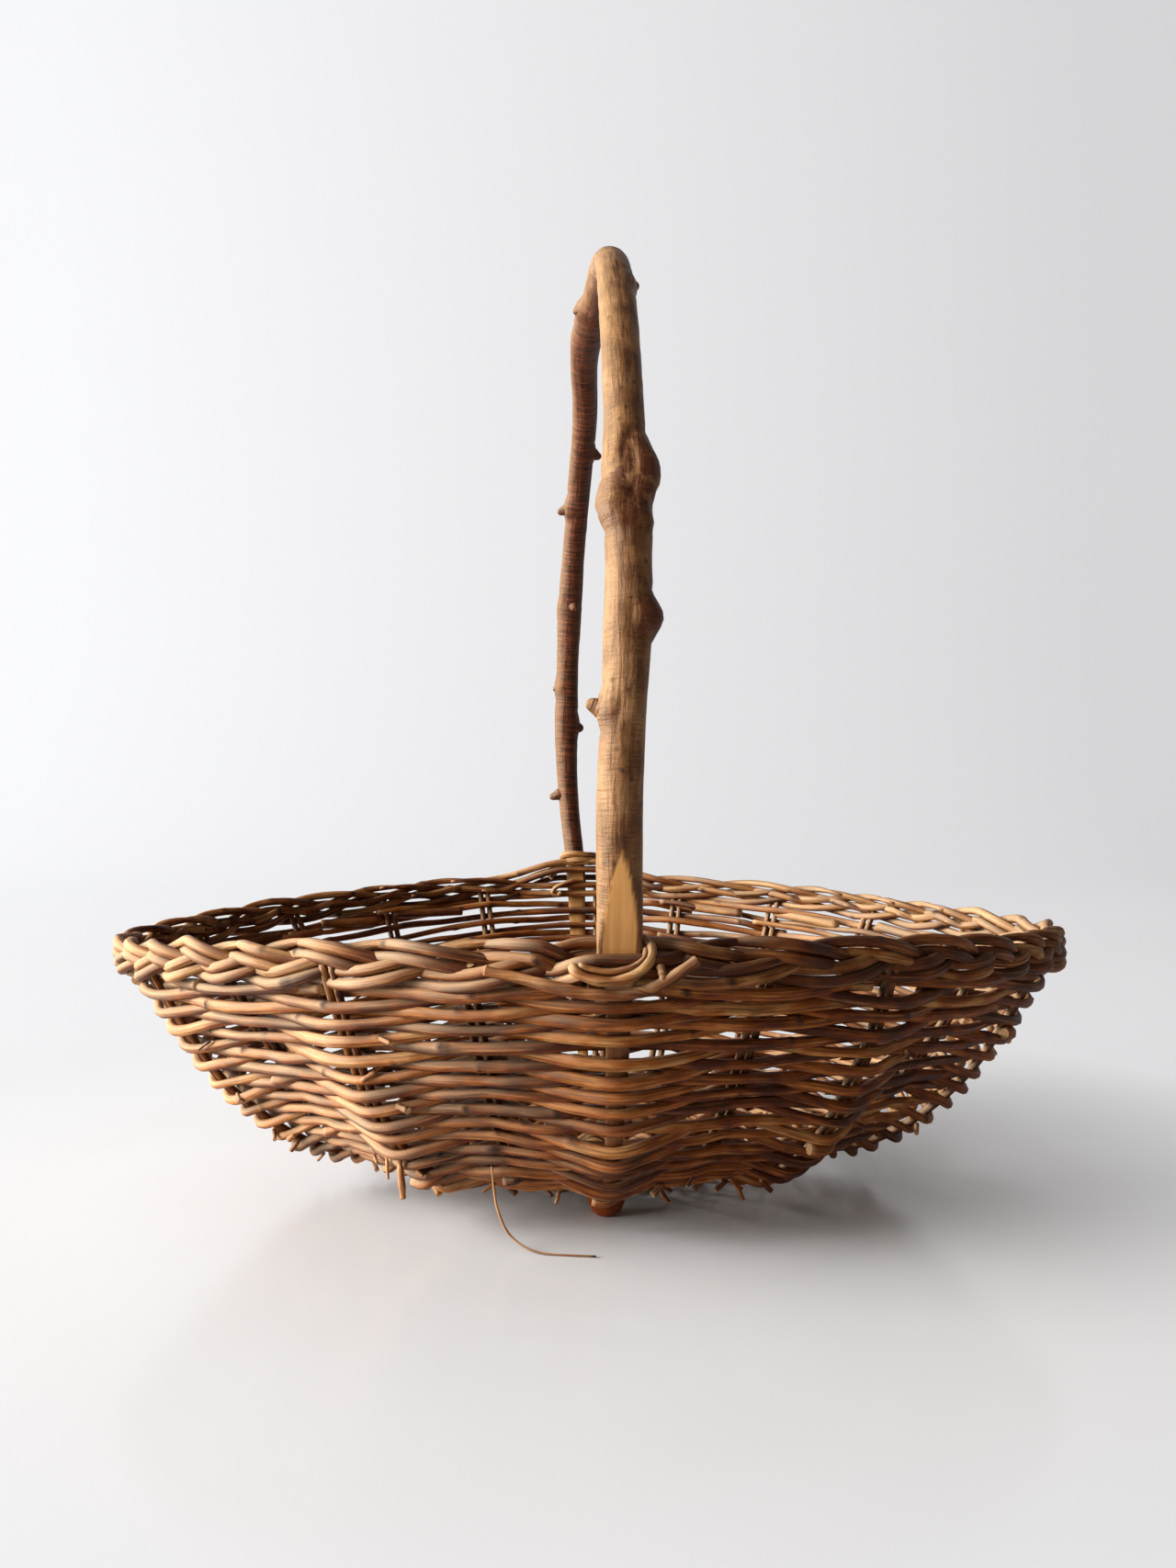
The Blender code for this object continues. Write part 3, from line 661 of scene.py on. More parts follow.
def strand_rods(strand, side):
    """Cut a strand's ring where it lies furthest inside, but never beside a handle leg."""
    dense = np.linspace(-PLACES, 2 * PLACES, 3001)
    wanted = 0.25 - strand / 3 + np.arange(0, CYCLES, 2)
    cuts = np.interp(wanted, plait_turns(dense), dense) + 0.16 * side
    cuts = [float(c) for c in cuts if abs(leg_offset(c)) > 0.62]
    cuts.append(cuts[0] + PLACES)
    return [border_rod(strand, side, a, b) for a, b in zip(cuts, cuts[1:])]


def inner_butt(place):
    """Lay a stake's cut butt under the border on the inside, with its far end in the wall."""
    seed = int(rng.integers(10000))
    start = place + 0.22 + rng.uniform(-0.1, 0.1)
    along = np.linspace(start, start + rng.uniform(0.55, 0.75), 14)
    share = np.linspace(0, 1, 14)
    point, around, outward = rim_frame(along)
    depth = -0.0094 + 0.0062 * share ** 2 + 0.0003 * wave(along * 3, seed=seed)
    height = -0.0112 - 0.0016 * (1 - share) + 0.0004 * wave(along * 2, seed=seed + 1)
    path = point + outward * depth[:, None]
    path[:, 2] += height
    radius = 0.0029 * (1 + 0.04 * wave(along * 5, seed=seed + 2))
    return (*sweep(path, radius, outward, sides=10), rng.uniform(), 0.0)


border_tubes = [rod for strand in range(3) for side in (-1, 1) for rod in strand_rods(strand, side)]
border_tubes += [inner_butt(p) for p in range(PLACES) if p not in (NEAR, NEAR - 1, FAR, FAR - 1)]
make_piece("border_plait", border_tubes, [border_willow, cut_willow],
           ["border_rod_1", "border_rod_2", "border_rod_3"])

# %% [markdown]
# ## Leg bindings
#
# Where each leg meets the border, a paler rod is wound round both. At the near leg it lies low
# across the front, climbs over the border on the right, passes behind the branch and comes
# round once more, thinner, while one rod of the border runs below it. At the far leg it sits
# higher, like a collar, and one end hangs inside in a curl. Such a rod follows no simple
# formula, so its path runs smoothly through a few points instead.

# %% A smooth path through points
def curve_through(points, count):
    """Cubic Hermite path: each point's direction is half the step between its two neighbours."""
    points = np.asarray(points, float)
    way = np.gradient(points, axis=0)
    spot = np.linspace(0, len(points) - 1, count)
    first = np.minimum(spot.astype(int), len(points) - 2)
    t = (spot - first)[:, None]
    start, end = points[first], points[first + 1]
    return (
        (2 * t ** 3 - 3 * t ** 2 + 1) * start + (3 * t ** 2 - 2 * t ** 3) * end
        + (t ** 3 - 2 * t ** 2 + t) * way[first] + (t ** 3 - t ** 2) * way[first + 1]
    )


def leg_wrap(corners, side, radius, tone, seed, count=140):
    """Corners are in millimetres: across to the right, outwards from the rim, and above the rim."""
    across, out, up = np.array(corners, float).T / 1000
    path = curve_through(np.column_stack([across, side * (RIM_HALF_WIDTH + out), RIM_HEIGHT + up]), count)
    hub = np.array([path[:, 0].mean(), path[:, 1].mean(), 0])
    away = (path - hub) * np.array([1, 1, 0.0]) + np.array([0, 0, 0.004])
    ripple = radius * (1 + 0.09 * wave(np.linspace(0, 16, count), seed=seed))
    return rod(path, ripple, away, tone, seed, size=0.15)


print("halfway between two points:", curve_through([[0, 0, 0], [1, 0, 0], [2, 1, 0]], 3)[1])

# %% The two bindings
near_wraps = [
    leg_wrap([
        (-4, -5.0, 1.0), (-12, -3.0, 0.0), (-18.5, 3.0, -0.2), (-19.6, 8.0, -0.8), (-15.5, 10.4, -3.4),
        (-9, 11.4, -5.1), (-2, 11.6, -4.9), (5.0, 11.2, -2.7), (10.0, 9.6, 0.8), (12.6, 6.2, 5.0),
        (12.2, 1.5, 8.6), (9.0, -4.0, 10.4), (4, -7.0, 9.0), (-4, -8.0, 4.0)],
        -1, 0.0021, 0.85, 401),
    leg_wrap([
        (-15, 4.0, 1.6), (-16.6, 8.0, 1.0), (-12, 9.6, -0.6), (-4, 10.4, -1.5), (3.6, 10.2, 0.2),
        (8.4, 8.6, 2.8), (10.2, 5.0, 5.8), (9.8, 0.0, 7.0)],
        -1, 0.0013, 0.75, 402),
    leg_wrap([
        (-56, -3.0, -2.5), (-43, 0.0, -5.0), (-30, 4.2, -8.0), (-15, 7.6, -10.8), (-2, 8.8, -11.4),
        (9, 9.4, -9.6), (17, 9.9, -6.2), (24, 10.0, -1.8), (31, 8.4, 2.4)],
        -1, 0.0026, 0.5, 403),
    leg_wrap([(15.6, 8.0, 0.6), (16.4, 10.0, -2.6), (16.8, 10.4, -6.0), (16.4, 7.6, -9.0)],
             -1, 0.0017, 0.9, 404),
]
far_wraps = [
    leg_wrap([
        (-20, 0.5, 5.0), (-14, 4.5, 11.0), (-6, 8.6, 17.0), (2, 8.8, 19.0), (8.2, 4.5, 19.6),
        (8.8, -1.5, 19.8), (4, -6.6, 20.4), (-4, -7.4, 21.4), (-10.0, -4.5, 20.6),
        (-11.5, 1.5, 18.6), (-7.5, 7.2, 16.6), (0, 8.6, 15.8), (7, 6.6, 15.8), (10.5, 1.0, 16.2),
        (8.4, -5.5, 17.0), (-1, -7.9, 17.4), (-9, -7.0, 16.2), (-17, -5.0, 12.0), (-27, -3.0, 6.0)],
        1, 0.0021, 0.8, 402),
    leg_wrap([
        (1, -7.8, 4.0), (-5, -9.4, 3.6), (-11, -10.4, 2.0), (-16.5, -10.8, -0.6), (-18.5, -11.2, -3.8),
        (-15.5, -11.4, -5.6), (-13.0, -11.2, -3.6)], 1, 0.0014, 0.7, 405),
]
make_piece("near_leg_wrap", near_wraps, [border_willow, cut_willow], ["near_leg_binding"])
make_piece("far_leg_wrap", far_wraps, [border_willow, cut_willow], ["far_leg_binding"])

# %% [markdown]
# ## Loose ends
#
# A basket of unpeeled rods sheds. Short cut ends stick out of the wall, strips of skin hang down,
# and one long fibre reaches the table. The short ends are strewn by rule, each leaning along the
# wall and a little out of it. The few that hang are smooth paths through points.

# %% Loose ends
def short_end():
    """A straight piece of 5 to 9 mm: a step along the wall, plus 0.5 outwards, plus a fall."""
    place, rise = rng.uniform(0, PLACES), rng.uniform(0.03, 0.85) ** 1.4
    point, around, normal = bowl(place, rise)
    way = unit(around * rng.choice((-1.0, 1.0)) + normal * 0.5 - np.array([0, 0, rng.uniform(0, 0.5)]))
    step = np.linspace(0, 1, 5)[:, None] ** 0.8
    path = point + normal * 0.0030 + way * step * rng.uniform(0.005, 0.009)
    radius = rng.uniform(0.0008, 0.0018)
    radius = radius * (1 + 0.12 * wave(np.linspace(0, 3, 5), seed=int(rng.integers(999))))
    return (*sweep(path, radius, normal, sides=6), rng.uniform(), 0.0)


def hanging_strip(place, rise, steps, radius, tone):
    """Steps are in millimetres to the right, away from the viewer and up, from the wall's face."""
    point, _, normal = bowl(place, rise)
    corners = point + normal * 0.004 + np.array([(0, 0, 0), *steps]) / 1000
    path = curve_through(corners, 40)
    path[:, 2] = np.maximum(path[:, 2], radius + 0.0002)
    girth = radius * (1 + 0.2 * wave(np.linspace(0, 9, 40), seed=77))
    return (*sweep(path, girth, normal, sides=6), tone, 0.0)


loose_ends = [short_end() for _ in range(90)]
loose_ends += [
    hanging_strip(-2.02, 0.34, [(0.5, -1.5, -6), (1.2, -1.5, -12), (1.5, -1, -17.5)], 0.0015, 0.7),
    hanging_strip(-2.2, 0.33, [(0.3, -1, -5), (0.6, -1, -10)], 0.0008, 0.9),
    hanging_strip(-1.2, 0.27, [(1, -2, -9), (3, -3, -20), (9, -5, -31), (22, -12, -36), (47, -17, -36.4)],
                  0.0005, 0.9),
    hanging_strip(1.6, 0.12, [(2, -1, -4), (4, -2, -8)], 0.0010, 0.5),
    hanging_strip(0.7, 0.05, [(1, -1.5, -3), (4, -2, -7)], 0.0012, 0.5),
    hanging_strip(-0.6, 0.05, [(-1, -1.5, -3), (-2, -2, -6)], 0.0010, 0.7),
]
make_piece("loose_ends", loose_ends, [siding_willow, cut_willow], [])

# %% [markdown]
# ## Base
#
# Ten sticks cross in the middle, five over five, and are then spread like a fan until their
# twenty ends meet the twenty places of the wall. Thin rods are woven round them. The base
# rises a little towards its edge, so the basket stands on a ring and on its foot knobs.

# %% Height of the base
BASE_ROD, SPOKE = 0.0017, 0.0021
BASE_MIDDLE = 0.0062
MAT_EDGE_LIFT = 0.0161
MAT_FLAT = 0.42
UPRIGHT = np.array([0, 0, 1.0])


def base_height(share):
    """Middle height = a flat part, then a climb with the power 1.5 of the share beyond it."""
    climb = np.clip((share - MAT_FLAT) / (1 - MAT_FLAT), 0, 1)
    return BASE_MIDDLE + MAT_EDGE_LIFT * climb ** 1.5


def base_plan(place, share):
    """x = half length * share * sin(angle), y = -half width * share * cos(angle)."""
    angle = TURN * place / PLACES
    x, y = BASE_HALF_LENGTH * share * np.sin(angle), -BASE_HALF_WIDTH * share * np.cos(angle)
    return np.stack([x, y], axis=-1)


def base_stick(number, lengthwise):
    """Blend from one of five parallel lines in the middle to the straight line to its place."""
    reach = np.linspace(-1, 1, 73)
    place = np.where(reach > 0, 0, FAR) + (FAR / 2 if lengthwise else 0) + np.sign(reach) * number
    aim = base_plan(place, np.abs(reach) * 0.985)
    beside = number * 2.1 * SPOKE
    length = BASE_HALF_LENGTH if lengthwise else BASE_HALF_WIDTH
    straight = np.stack([reach * length, np.full(73, beside)] if lengthwise
                        else [np.full(73, beside), -reach * length], axis=-1)
    spread = smooth(np.abs(reach), 0.16, 0.62)[:, None]
    plan = straight + (aim - straight) * spread
    share = np.hypot(plan[:, 0] / BASE_HALF_LENGTH, plan[:, 1] / BASE_HALF_WIDTH)
    crossing = 1 - smooth(np.abs(reach), 0.14, 0.3)
    height = base_height(share) + (-1 if lengthwise else 1) * SPOKE * crossing
    path = np.column_stack([plan, height])
    radius = SPOKE * (1 + 0.05 * wave(reach * 6, seed=number + 50))
    return rod(path, radius, UPRIGHT, rng.uniform(), number + 60, size=0.2)


sticks = [base_stick(number, lengthwise) for number in range(-2, 3) for lengthwise in (True, False)]
make_piece("base_spokes", sticks, [stake_willow, cut_willow],
           [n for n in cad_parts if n.startswith("base_stick")])

# %% Rounds woven on the base
BASE_ROUNDS, TIE_ROUNDS = 16, 3


def base_round(number):
    """One closed ring: height = +-(spoke + rod radius) * cos(pi * (place + round)), softened. The
    rounds nearest the middle pass over three spokes and under two, which ties the cross."""
    place = np.linspace(0, PLACES, PLACES * 10, endpoint=False)
    tie = number < TIE_ROUNDS
    share = 0.2 + 0.045 * number if tie else 0.34 + 0.635 * (number - TIE_ROUNDS) / (BASE_ROUNDS - 1)
    share = share + 0.006 * wave(place * 0.8, seed=number + 70, cells=(16, 64))
    phase = TURN * place / 5 if tie else math.pi * (place + number)
    swing = np.arcsin(0.9 * np.cos(phase)) / math.asin(0.9)
    height = base_height(share) + (SPOKE + BASE_ROD) * swing * (1.25 if tie else 1)
    path = np.column_stack([base_plan(place, share), np.maximum(height, BASE_ROD + 0.0002)])
    closing = np.concatenate([path[-1:], path, path[:1]])
    radius = BASE_ROD * (1 + 0.06 * wave(place * 1.6, seed=number + 90, cells=(32, 64)))
    radius = np.concatenate([radius[-1:], radius, radius[:1]])
    grid, own = sweep(closing, radius, UPRIGHT)
    return grid[1:-1], own[1:-1], rng.uniform(), 0.0


make_piece("base_weave", [base_round(n) for n in range(BASE_ROUNDS + TIE_ROUNDS)],
           [siding_willow, cut_willow], ["base_mat"], closed=True)

# %% [markdown]
# ## Handle
#
# The handle is one branch with its bark on. It tapers from 19 mm at the near leg to 13 mm at
# the far leg, swells at its knots, and carries the stumps of cut twigs. Each end is whittled to
# a flat tongue that runs down the wall like a stake. The surface is a cut circle carried along
# the arch: depth is limited outwards and inwards, which leaves the flat pale faces of a knife.

# %% The arch
HANDLE_HEIGHT, CROWN_RADIUS = 0.490, 0.0082
NEAR_RADIUS, FAR_RADIUS = 0.0097, 0.0064
ARCH_HALF_SPAN = 0.180
ARCH_START = -math.acos(RIM_HALF_WIDTH / ARCH_HALF_SPAN)
CROWN_HEIGHT = HANDLE_HEIGHT - CROWN_RADIUS
ARCH_RISE = (CROWN_HEIGHT - RIM_HEIGHT) / (1 - math.sin(ARCH_START))
ARCH_LEVEL = CROWN_HEIGHT - ARCH_RISE
SWAY = 0.009
SWAY_SHARES = (-0.08, 0.0, 0.05, 0.1, 0.2, 0.4, 0.5, 0.56, 0.62, 0.7, 0.78, 0.85, 0.93, 1.0, 1.08)
SWAY_SIDES = (0.0, -0.1, 0.15, 0.45, 0.4, 0.5, 0.45, 0.25, -0.35, 0.1, -0.35, -0.75, -1.0, -1.0, -0.2)
# Each knot: its share of the arch and how much of the full swelling it has.
KNOTS = ((0.155, 1.0), (0.085, 0.45), (0.6, 0.5), (0.87, 0.4), (0.955, 0.35))
KNOT_SWELL, KNOT_SPREAD = 0.0022, 0.028


def arch(angle):
    """x = sway, y = -half span * cos(angle), z = level + rise * sin(angle). The sway is a run of
    values joined by straight lines and then averaged with its neighbours."""
    near = [np.interp((angle + d) / math.pi, SWAY_SHARES, SWAY_SIDES) for d in np.linspace(-0.09, 0.09, 7)]
    side = SWAY * np.mean(near, axis=0)
    return np.stack([side, -ARCH_HALF_SPAN * np.cos(angle), ARCH_LEVEL + ARCH_RISE * np.sin(angle)], axis=-1)


def branch_radius(angle):
    """Taper along two straight lines, with a bell-shaped swelling at each knot."""
    share = angle / math.pi
    radius = np.interp(share, (0, 0.5, 1), (NEAR_RADIUS, CROWN_RADIUS, FAR_RADIUS))
    for knot, size in KNOTS:
        radius = radius + KNOT_SWELL * size * np.exp(-((share - knot) / KNOT_SPREAD) ** 2)
    return radius


print("crown of the arch:", arch(np.array([math.pi / 2])).round(4))

# %% Sections of the branch
BORDER_REACH, SCOOP, WHITTLE, UNCUT = 0.009, 0.012, 0.057, 0.02
TONGUE_HALF, TONGUE_TIP_HALF, TONGUE_TIP_RISE = 0.0058, 0.0026, 0.1
ARCH_STEPS, TONGUE_STEPS = 300, 40


def arch_sections():
    """Along the arch: centre, forward direction, half width, and how far it reaches out and in.
    The flat that the knife left widens downwards like the 0.7th power of its length."""
    angle = np.linspace(ARCH_START, math.pi - ARCH_START, ARCH_STEPS)
    centre = arch(angle)
    radius = branch_radius(angle)
    over = centre[:, 2] - RIM_HEIGHT
    flat = np.clip((WHITTLE - over) / (WHITTLE - SCOOP), 0, 1) ** 0.7
    outer = GRIP + (radius - GRIP) * np.sqrt(1 - flat ** 2) - 0.0009 * np.minimum(3 * flat, 1)
    outer = np.where(flat > 0, outer, UNCUT)
    inner = GRIP + (radius - GRIP) * np.clip(over / BORDER_REACH - 1, 0, 1)
    inner = np.where(over > 2 * BORDER_REACH, UNCUT, inner)
    whole = np.column_stack([radius, radius, outer, inner])
    return centre, unit(np.gradient(centre, axis=0)), whole


def tongue_sections(place, sway, widest):
    """Down the wall: the width tapers along a straight line and the depth is that of a stake."""
    share = np.linspace(0, 1, TONGUE_STEPS, endpoint=False)
    rise = TONGUE_TIP_RISE + share * (siding_rise(place, 1) - TONGUE_TIP_RISE)
    centre, _, _ = bowl(np.full(TONGUE_STEPS, float(place)), rise)
    centre[:, 0] += sway * share
    half = np.minimum(TONGUE_TIP_HALF + (TONGUE_HALF - TONGUE_TIP_HALF) * share, widest)
    depth = stake_radius(rise)
    return centre, unit(np.gradient(centre, axis=0)), np.column_stack([half, depth, depth, depth])


middle = arch_sections()
near_end = tongue_sections(NEAR, middle[0][0, 0], NEAR_RADIUS)
far_end = tongue_sections(FAR, middle[0][-1, 0], FAR_RADIUS)
branch_path = np.concatenate([near_end[0], middle[0], far_end[0][::-1]])
branch_sizes = np.concatenate([near_end[2], middle[2], far_end[2][::-1]])
branch_run = lengths(branch_path)
print("branch length in mm:", round(1000 * branch_run[-1]))

# %% Bark relief and the branch's skin
ACROSS = np.array([1.0, 0, 0])


def run_at(share):
    """Give the length along the whole branch at a share of the arch's half turn."""
    angle = np.linspace(ARCH_START, math.pi - ARCH_START, ARCH_STEPS)
    return float(np.interp(share * math.pi, angle, branch_run[TONGUE_STEPS:TONGUE_STEPS + ARCH_STEPS]))


# Each lump: its share of the arch, its side in turns, and its height, length and width.
LUMPS = (
    (0.167, 0.19, 0.0042, 0.0125, 0.42), (0.148, -0.25, 0.0026, 0.008, 0.45),
    (0.152, 0.08, -0.0026, 0.0030, 0.45), (0.168, 0.04, -0.0022, 0.009, 0.14),
    (0.138, -0.12, 0.0022, 0.005, 0.35), (0.136, 0.12, 0.0016, 0.004, 0.3),
    (0.086, 0.21, 0.0046, 0.0075, 0.38), (0.042, -0.24, 0.0022, 0.0060, 0.40),
    (0.335, 0.25, 0.0014, 0.007, 0.4), (0.565, -0.20, 0.0022, 0.005, 0.45),
    (0.577, 0.0, 0.0017, 0.006, 0.9), (0.73, 0.25, 0.0014, 0.005, 0.45),
    (0.78, -0.25, 0.0018, 0.006, 0.45), (0.865, -0.1, 0.0010, 0.007, 0.6),
    (0.927, -0.25, 0.0012, 0.006, 0.45), (0.957, 0.25, 0.0014, 0.006, 0.45),
)


def branch_tube():
    """Depth = clip(radius * cos(turn), -inner, outer) and across = half width * sin(turn). The
    radius carries folds along the branch, short wrinkles, and lumps by the knots, each a bell with
    a shallow groove round it. Tone is 1 where the knife has cut, 0.8 on the far tongue and 0 where
    the bark is left. The near tongue, which lies behind the siding, gets only 0.1 and the full knot
    mark: painted shade. Elsewhere the knot mark is the knots' own darker bark, with painted shade
    in the groove round each lump."""
    turn = ring_turns(44)[None]
    run = branch_run[:, None]
    half, depth, outer, inner = (column[:, None] for column in branch_sizes.T)
    folds = 0.00022 * wave(run / 0.045, turn / TURN * 6, seed=21, cells=(64, 6))
    wrinkles = 0.00016 * wave(run / 0.006, turn / TURN * 14, seed=22, cells=(256, 14))
    bow = 0.0006 * wave(run / 0.09, turn / TURN * 3, seed=23, cells=(32, 3))
    lumps, knots = 0, 0
    for share, side, height, long, wide in LUMPS:
        away = np.hypot((run - run_at(share)) / long, np.sin((turn - TURN * side) / 2) / wide)
        ring = np.exp(-((away - 1.55) / 0.28) ** 2)
        lumps = lumps + height * np.exp(-away ** 2) - min(0.3 * abs(height), 0.0007) * ring
        # The ring term darkens the groove round each lump: painted shade.
        knots = knots + abs(height) / 0.003 * np.exp(-(away / 1.5) ** 2) + 0.25 * ring
    on_bark = smooth(depth, 0.003, 0.006)
    relief = (folds + wrinkles + bow + lumps - 0.0008 * np.clip(np.cos(turn), 0, 1) ** 3) * on_bark
    round_depth = (depth + relief) * np.cos(turn)
    cut_depth = np.clip(round_depth, -inner, outer)
    across = (half + relief) * np.sin(turn)
    forward = unit(np.gradient(branch_path, axis=0))[:, None]
    outward = unit(np.cross(ACROSS, forward))
    grid = branch_path[:, None] + ACROSS * across[..., None] + outward * cut_depth[..., None]
    edge = np.abs(np.sin(turn)) + 0.06 * wave(run / 0.012, turn / TURN * 4, seed=24, cells=(128, 4))
    peeled = smooth(np.abs(round_depth - cut_depth), 0.00002, 0.0002) * (1 - smooth(edge, 0.72, 0.80))
    far_half = smooth(run, 0.45 * branch_run[-1], 0.55 * branch_run[-1])
    # Painted shade: the near tongue shows only 0.1 of the pale cut wood, the far one 0.8.
    peeled = np.maximum(peeled, (0.1 + 0.7 * far_half) * (1 - smooth(depth, 0.0028, 0.0040)))
    own = np.stack([np.broadcast_to(run, grid.shape[:2]), depth * np.cos(turn), half * np.sin(turn)], axis=-1)
    # The knots' own darker bark, plus painted shade in the lump grooves and on the near tongue.
    knots_and_painted_shade = np.clip(knots, 0, 1) * on_bark + 1.3 * (1 - on_bark) * (1 - far_half)
    return grid, own, np.broadcast_to(peeled, grid.shape[:2]), knots_and_painted_shade


print("lumps on the branch:", len(LUMPS))

# %% Stumps of cut twigs
# Each stump: its share of the arch, its side in turns, and its length and thickness as shares.
STUBS = (
    (0.170, 0.22, 0.0, 1.2), (0.084, 0.25, 0.0, 1.3), (0.040, -0.25, 0.75, 1.0),
    (0.335, 0.25, 0.2, 0.7), (0.566, -0.25, 0.30, 0.8), (0.73, 0.25, 0.45, 0.8), (0.78, -0.25, 0.65, 0.9),
    (0.86, 0.45, 0.2, 0.7), (0.927, -0.25, 0.15, 0.6), (0.957, 0.25, 0.45, 0.9), (1.010, -0.25, 0.75, 0.95),
)
STUB_LENGTH, STUB_RADIUS, STUB_SIDES = 0.0065, 0.0038, 14


def stub_tube(share, around, length, thickness):
    """A short round-ended rod set on the branch. Its radius flares at the bark, and its end is a
    dome: the square root of 1.02 - sin(quarter turn of the way out)^6, with coarse wrinkles."""
    angle = np.array([share * math.pi])
    centre = arch(angle)[0]
    forward = unit(arch(angle + 0.02) - arch(angle - 0.02))[0]
    outward = np.cross(ACROSS, forward)
    side = math.sin(TURN * around) * ACROSS + math.cos(TURN * around) * outward
    reach = float(branch_radius(angle)[0])
    start = reach * 0.45
    share_out = np.linspace(0, 1, 16)
    step = start + (reach + 0.0012 + STUB_LENGTH * length - start) * np.sin(share_out * math.pi / 2)
    lean = forward * 0.35 * (step - start)[:, None]
    path = centre + unit(side) * step[:, None] + lean
    flare = 1 + 0.5 * np.exp(-np.clip(step - reach, 0, 1) / 0.0016)
    dome = np.clip(1.02 - np.sin(share_out * math.pi / 2) ** 6, 0.03, 1) ** 0.5
    round_it = ring_turns(STUB_SIDES)[None] / TURN * 7
    rough = 1 + 0.13 * wave(step[:, None] / 0.002, round_it, seed=int(share * 999), cells=(64, 7))
    radius = STUB_RADIUS * thickness * 0.8 * (flare * dome)[:, None] * rough
    knot = 0.35 + 0.4 * np.exp(-np.abs(step - reach) / 0.002)[:, None]
    return (*sweep(path, radius, forward, sides=STUB_SIDES), 0.0, knot)


print("stumps:", len(STUBS))

# %% [markdown]
# ## Bark
#
# The bark is thin and smooth for a young branch: golden brown at the thick leg and red-brown at
# the thin one, with soft grooves along it, fine wrinkles round it, patches where it has been
# handled, and dark specks. It is darker at a knot, and the groove round a knot gets painted shade.
# Where the knife has been, the wood is pale and its grain runs straight, but the near tongue behind
# the siding is painted dark as shade. One material holds both, and the tone says which of the two
# shows. The side that faces the window is painted paler, as a painted highlight.

# %% Bark and whittled wood
# Bark gives the handle its darker, duller and rougher look, and the cut faces stand out on it.
bark, tree, shader = new_material("branch_bark_and_whittled_wood")
place = attribute(tree, "rod_place", "Vector")
peeled = attribute(tree, "rod_tone")
groove = noise(place, (45, 330, 330), 5.0, 0.6)
ring = noise(place, (900, 90, 90))
blotch = noise(place, 70.0, 4.0)
speck = add_node(tree, "ShaderNodeTexVoronoi", [("Vector", place), ("Scale", 150.0)]).outputs["Distance"]
thick_end = mix(remap(groove, 0.33, 0.66), "#4A2A13", "#835935")
thin_end = mix(remap(ring, 0.36, 0.64), "#36180A", "#64341A")
body = add_node(tree, "ShaderNodeTexCoord").outputs["Object"]
depth = add_node(tree, "ShaderNodeSeparateXYZ", [(0, body)]).outputs[1]
towards_tip = remap(depth, -0.015, 0.05, interpolation_type="SMOOTHSTEP")
ground = mix(towards_tip, thick_end, thin_end)
still_pale = remap(towards_tip, start=0.55, end=0.05)
golden = mix(remap(blotch, 0.48, 0.68, 0.0, still_pale), ground, "#96704C")
stained = mix(remap(blotch, 0.46, 0.34, 0.0, 0.65), golden, "#4A2A18")
specked = mix(remap(speck, 0.10, 0.24, 0.7, 0.0), stained, "#3A2114")
# Darker at knots and buds, the bark's own colour, and painted shade in the lump grooves and on the near
# tongue.
knots_and_shade = maths("MULTIPLY_ADD", attribute(tree, "rod_bud_and_shade"), 0.24, noise(place, 230.0, 4.0, 0.65))
knotted_and_shaded = mix(remap(knots_and_shade, 0.62, 0.76, 0.0, 0.9), specked, "#4E2614")
# Painted highlight: the side of the branch that faces the window is mixed towards pale tan.
painted_light_share = maths("MULTIPLY", attribute(tree, "rod_painted_light"), 0.22)
with_painted_highlight = mix(painted_light_share, knotted_and_shaded, "#D0B082")
wood = mix(noise(place, (16, 420, 420), 3.0), "#A8713A", "#D6A162")
bark_left = remap(peeled, start=0.9, end=0.12)
relief = bump(groove, bark_left, 0.0012)
set_inputs(shader, [
    ("Base Color", mix(peeled, with_painted_highlight, wood)),
    ("Normal", bump(ring, bark_left, 0.0008, [("Normal", relief)])),
    ("Roughness", 0.45), ("Specular IOR Level", 0.18)])

branch = [branch_tube()] + [stub_tube(*row) for row in STUBS]
make_piece("handle_branch_bark", branch, [bark, cut_willow], ["handle_branch"])

# %% [markdown]
# ## Foot knobs
#
# A round knob of red-brown wood sits under each end of the base's short axis. The knob under the
# near leg shows in the photograph, and its partner is assumed. A knob is a turned profile with a
# few dents, flat where it stands.

# %% Foot knobs
# Turned red-brown wood with a dull polish: the one smooth, round piece among the rods.
foot_wood, tree, shader = new_material("foot_knob_wood")
figure = noise(attribute(tree, "rod_place", "Vector"), (400, 160, 160), 4.0)
set_inputs(shader, [
    ("Base Color", mix(figure, "#481A06", "#8C4618")), ("Normal", bump(figure, 0.4, 0.001)),
    ("Roughness", 0.55), ("Specular IOR Level", 0.12)])
FOOT_OUT, FOOT_HEIGHT, FOOT_RADIUS = 0.0705, 0.0150, 0.0098


def foot_tube(side):
    """Radius = widest * square root of (1 - 0.8 * (1 - height)^3.2), carried up a short path."""
    rise = np.linspace(0, 1, 26) ** 1.4
    level = 0 * rise
    path = np.column_stack([0.001 + level, side * FOOT_OUT + level, 0.0001 + FOOT_HEIGHT * rise])
    profile = np.sqrt(1 - 0.8 * np.clip(1 - rise, 0, 1) ** 3.2)[:, None]
    round_it = ring_turns(36)[None] / TURN * 5
    dents = 1 + 0.07 * wave(rise[:, None] * 3, round_it, seed=31 + side, cells=(16, 5))
    radius = FOOT_RADIUS * profile * dents
    return (*sweep(path, radius, np.array([0, 1.0, 0]), sides=36), 0.4, 0.0)


make_piece("foot_knob_near", [foot_tube(-1)], [foot_wood, foot_wood], ["near_foot"])
make_piece("foot_knob_far", [foot_tube(1)], [foot_wood, foot_wood], ["far_foot"])

# %% [markdown]
# ## Floor and light
#
# The photograph has a pale table, a pale wall, and one window to the left. The floor is one large
# sheet that turns up behind. A wide soft lamp stands in for the window, and a weak even sky
# stands in for the room.

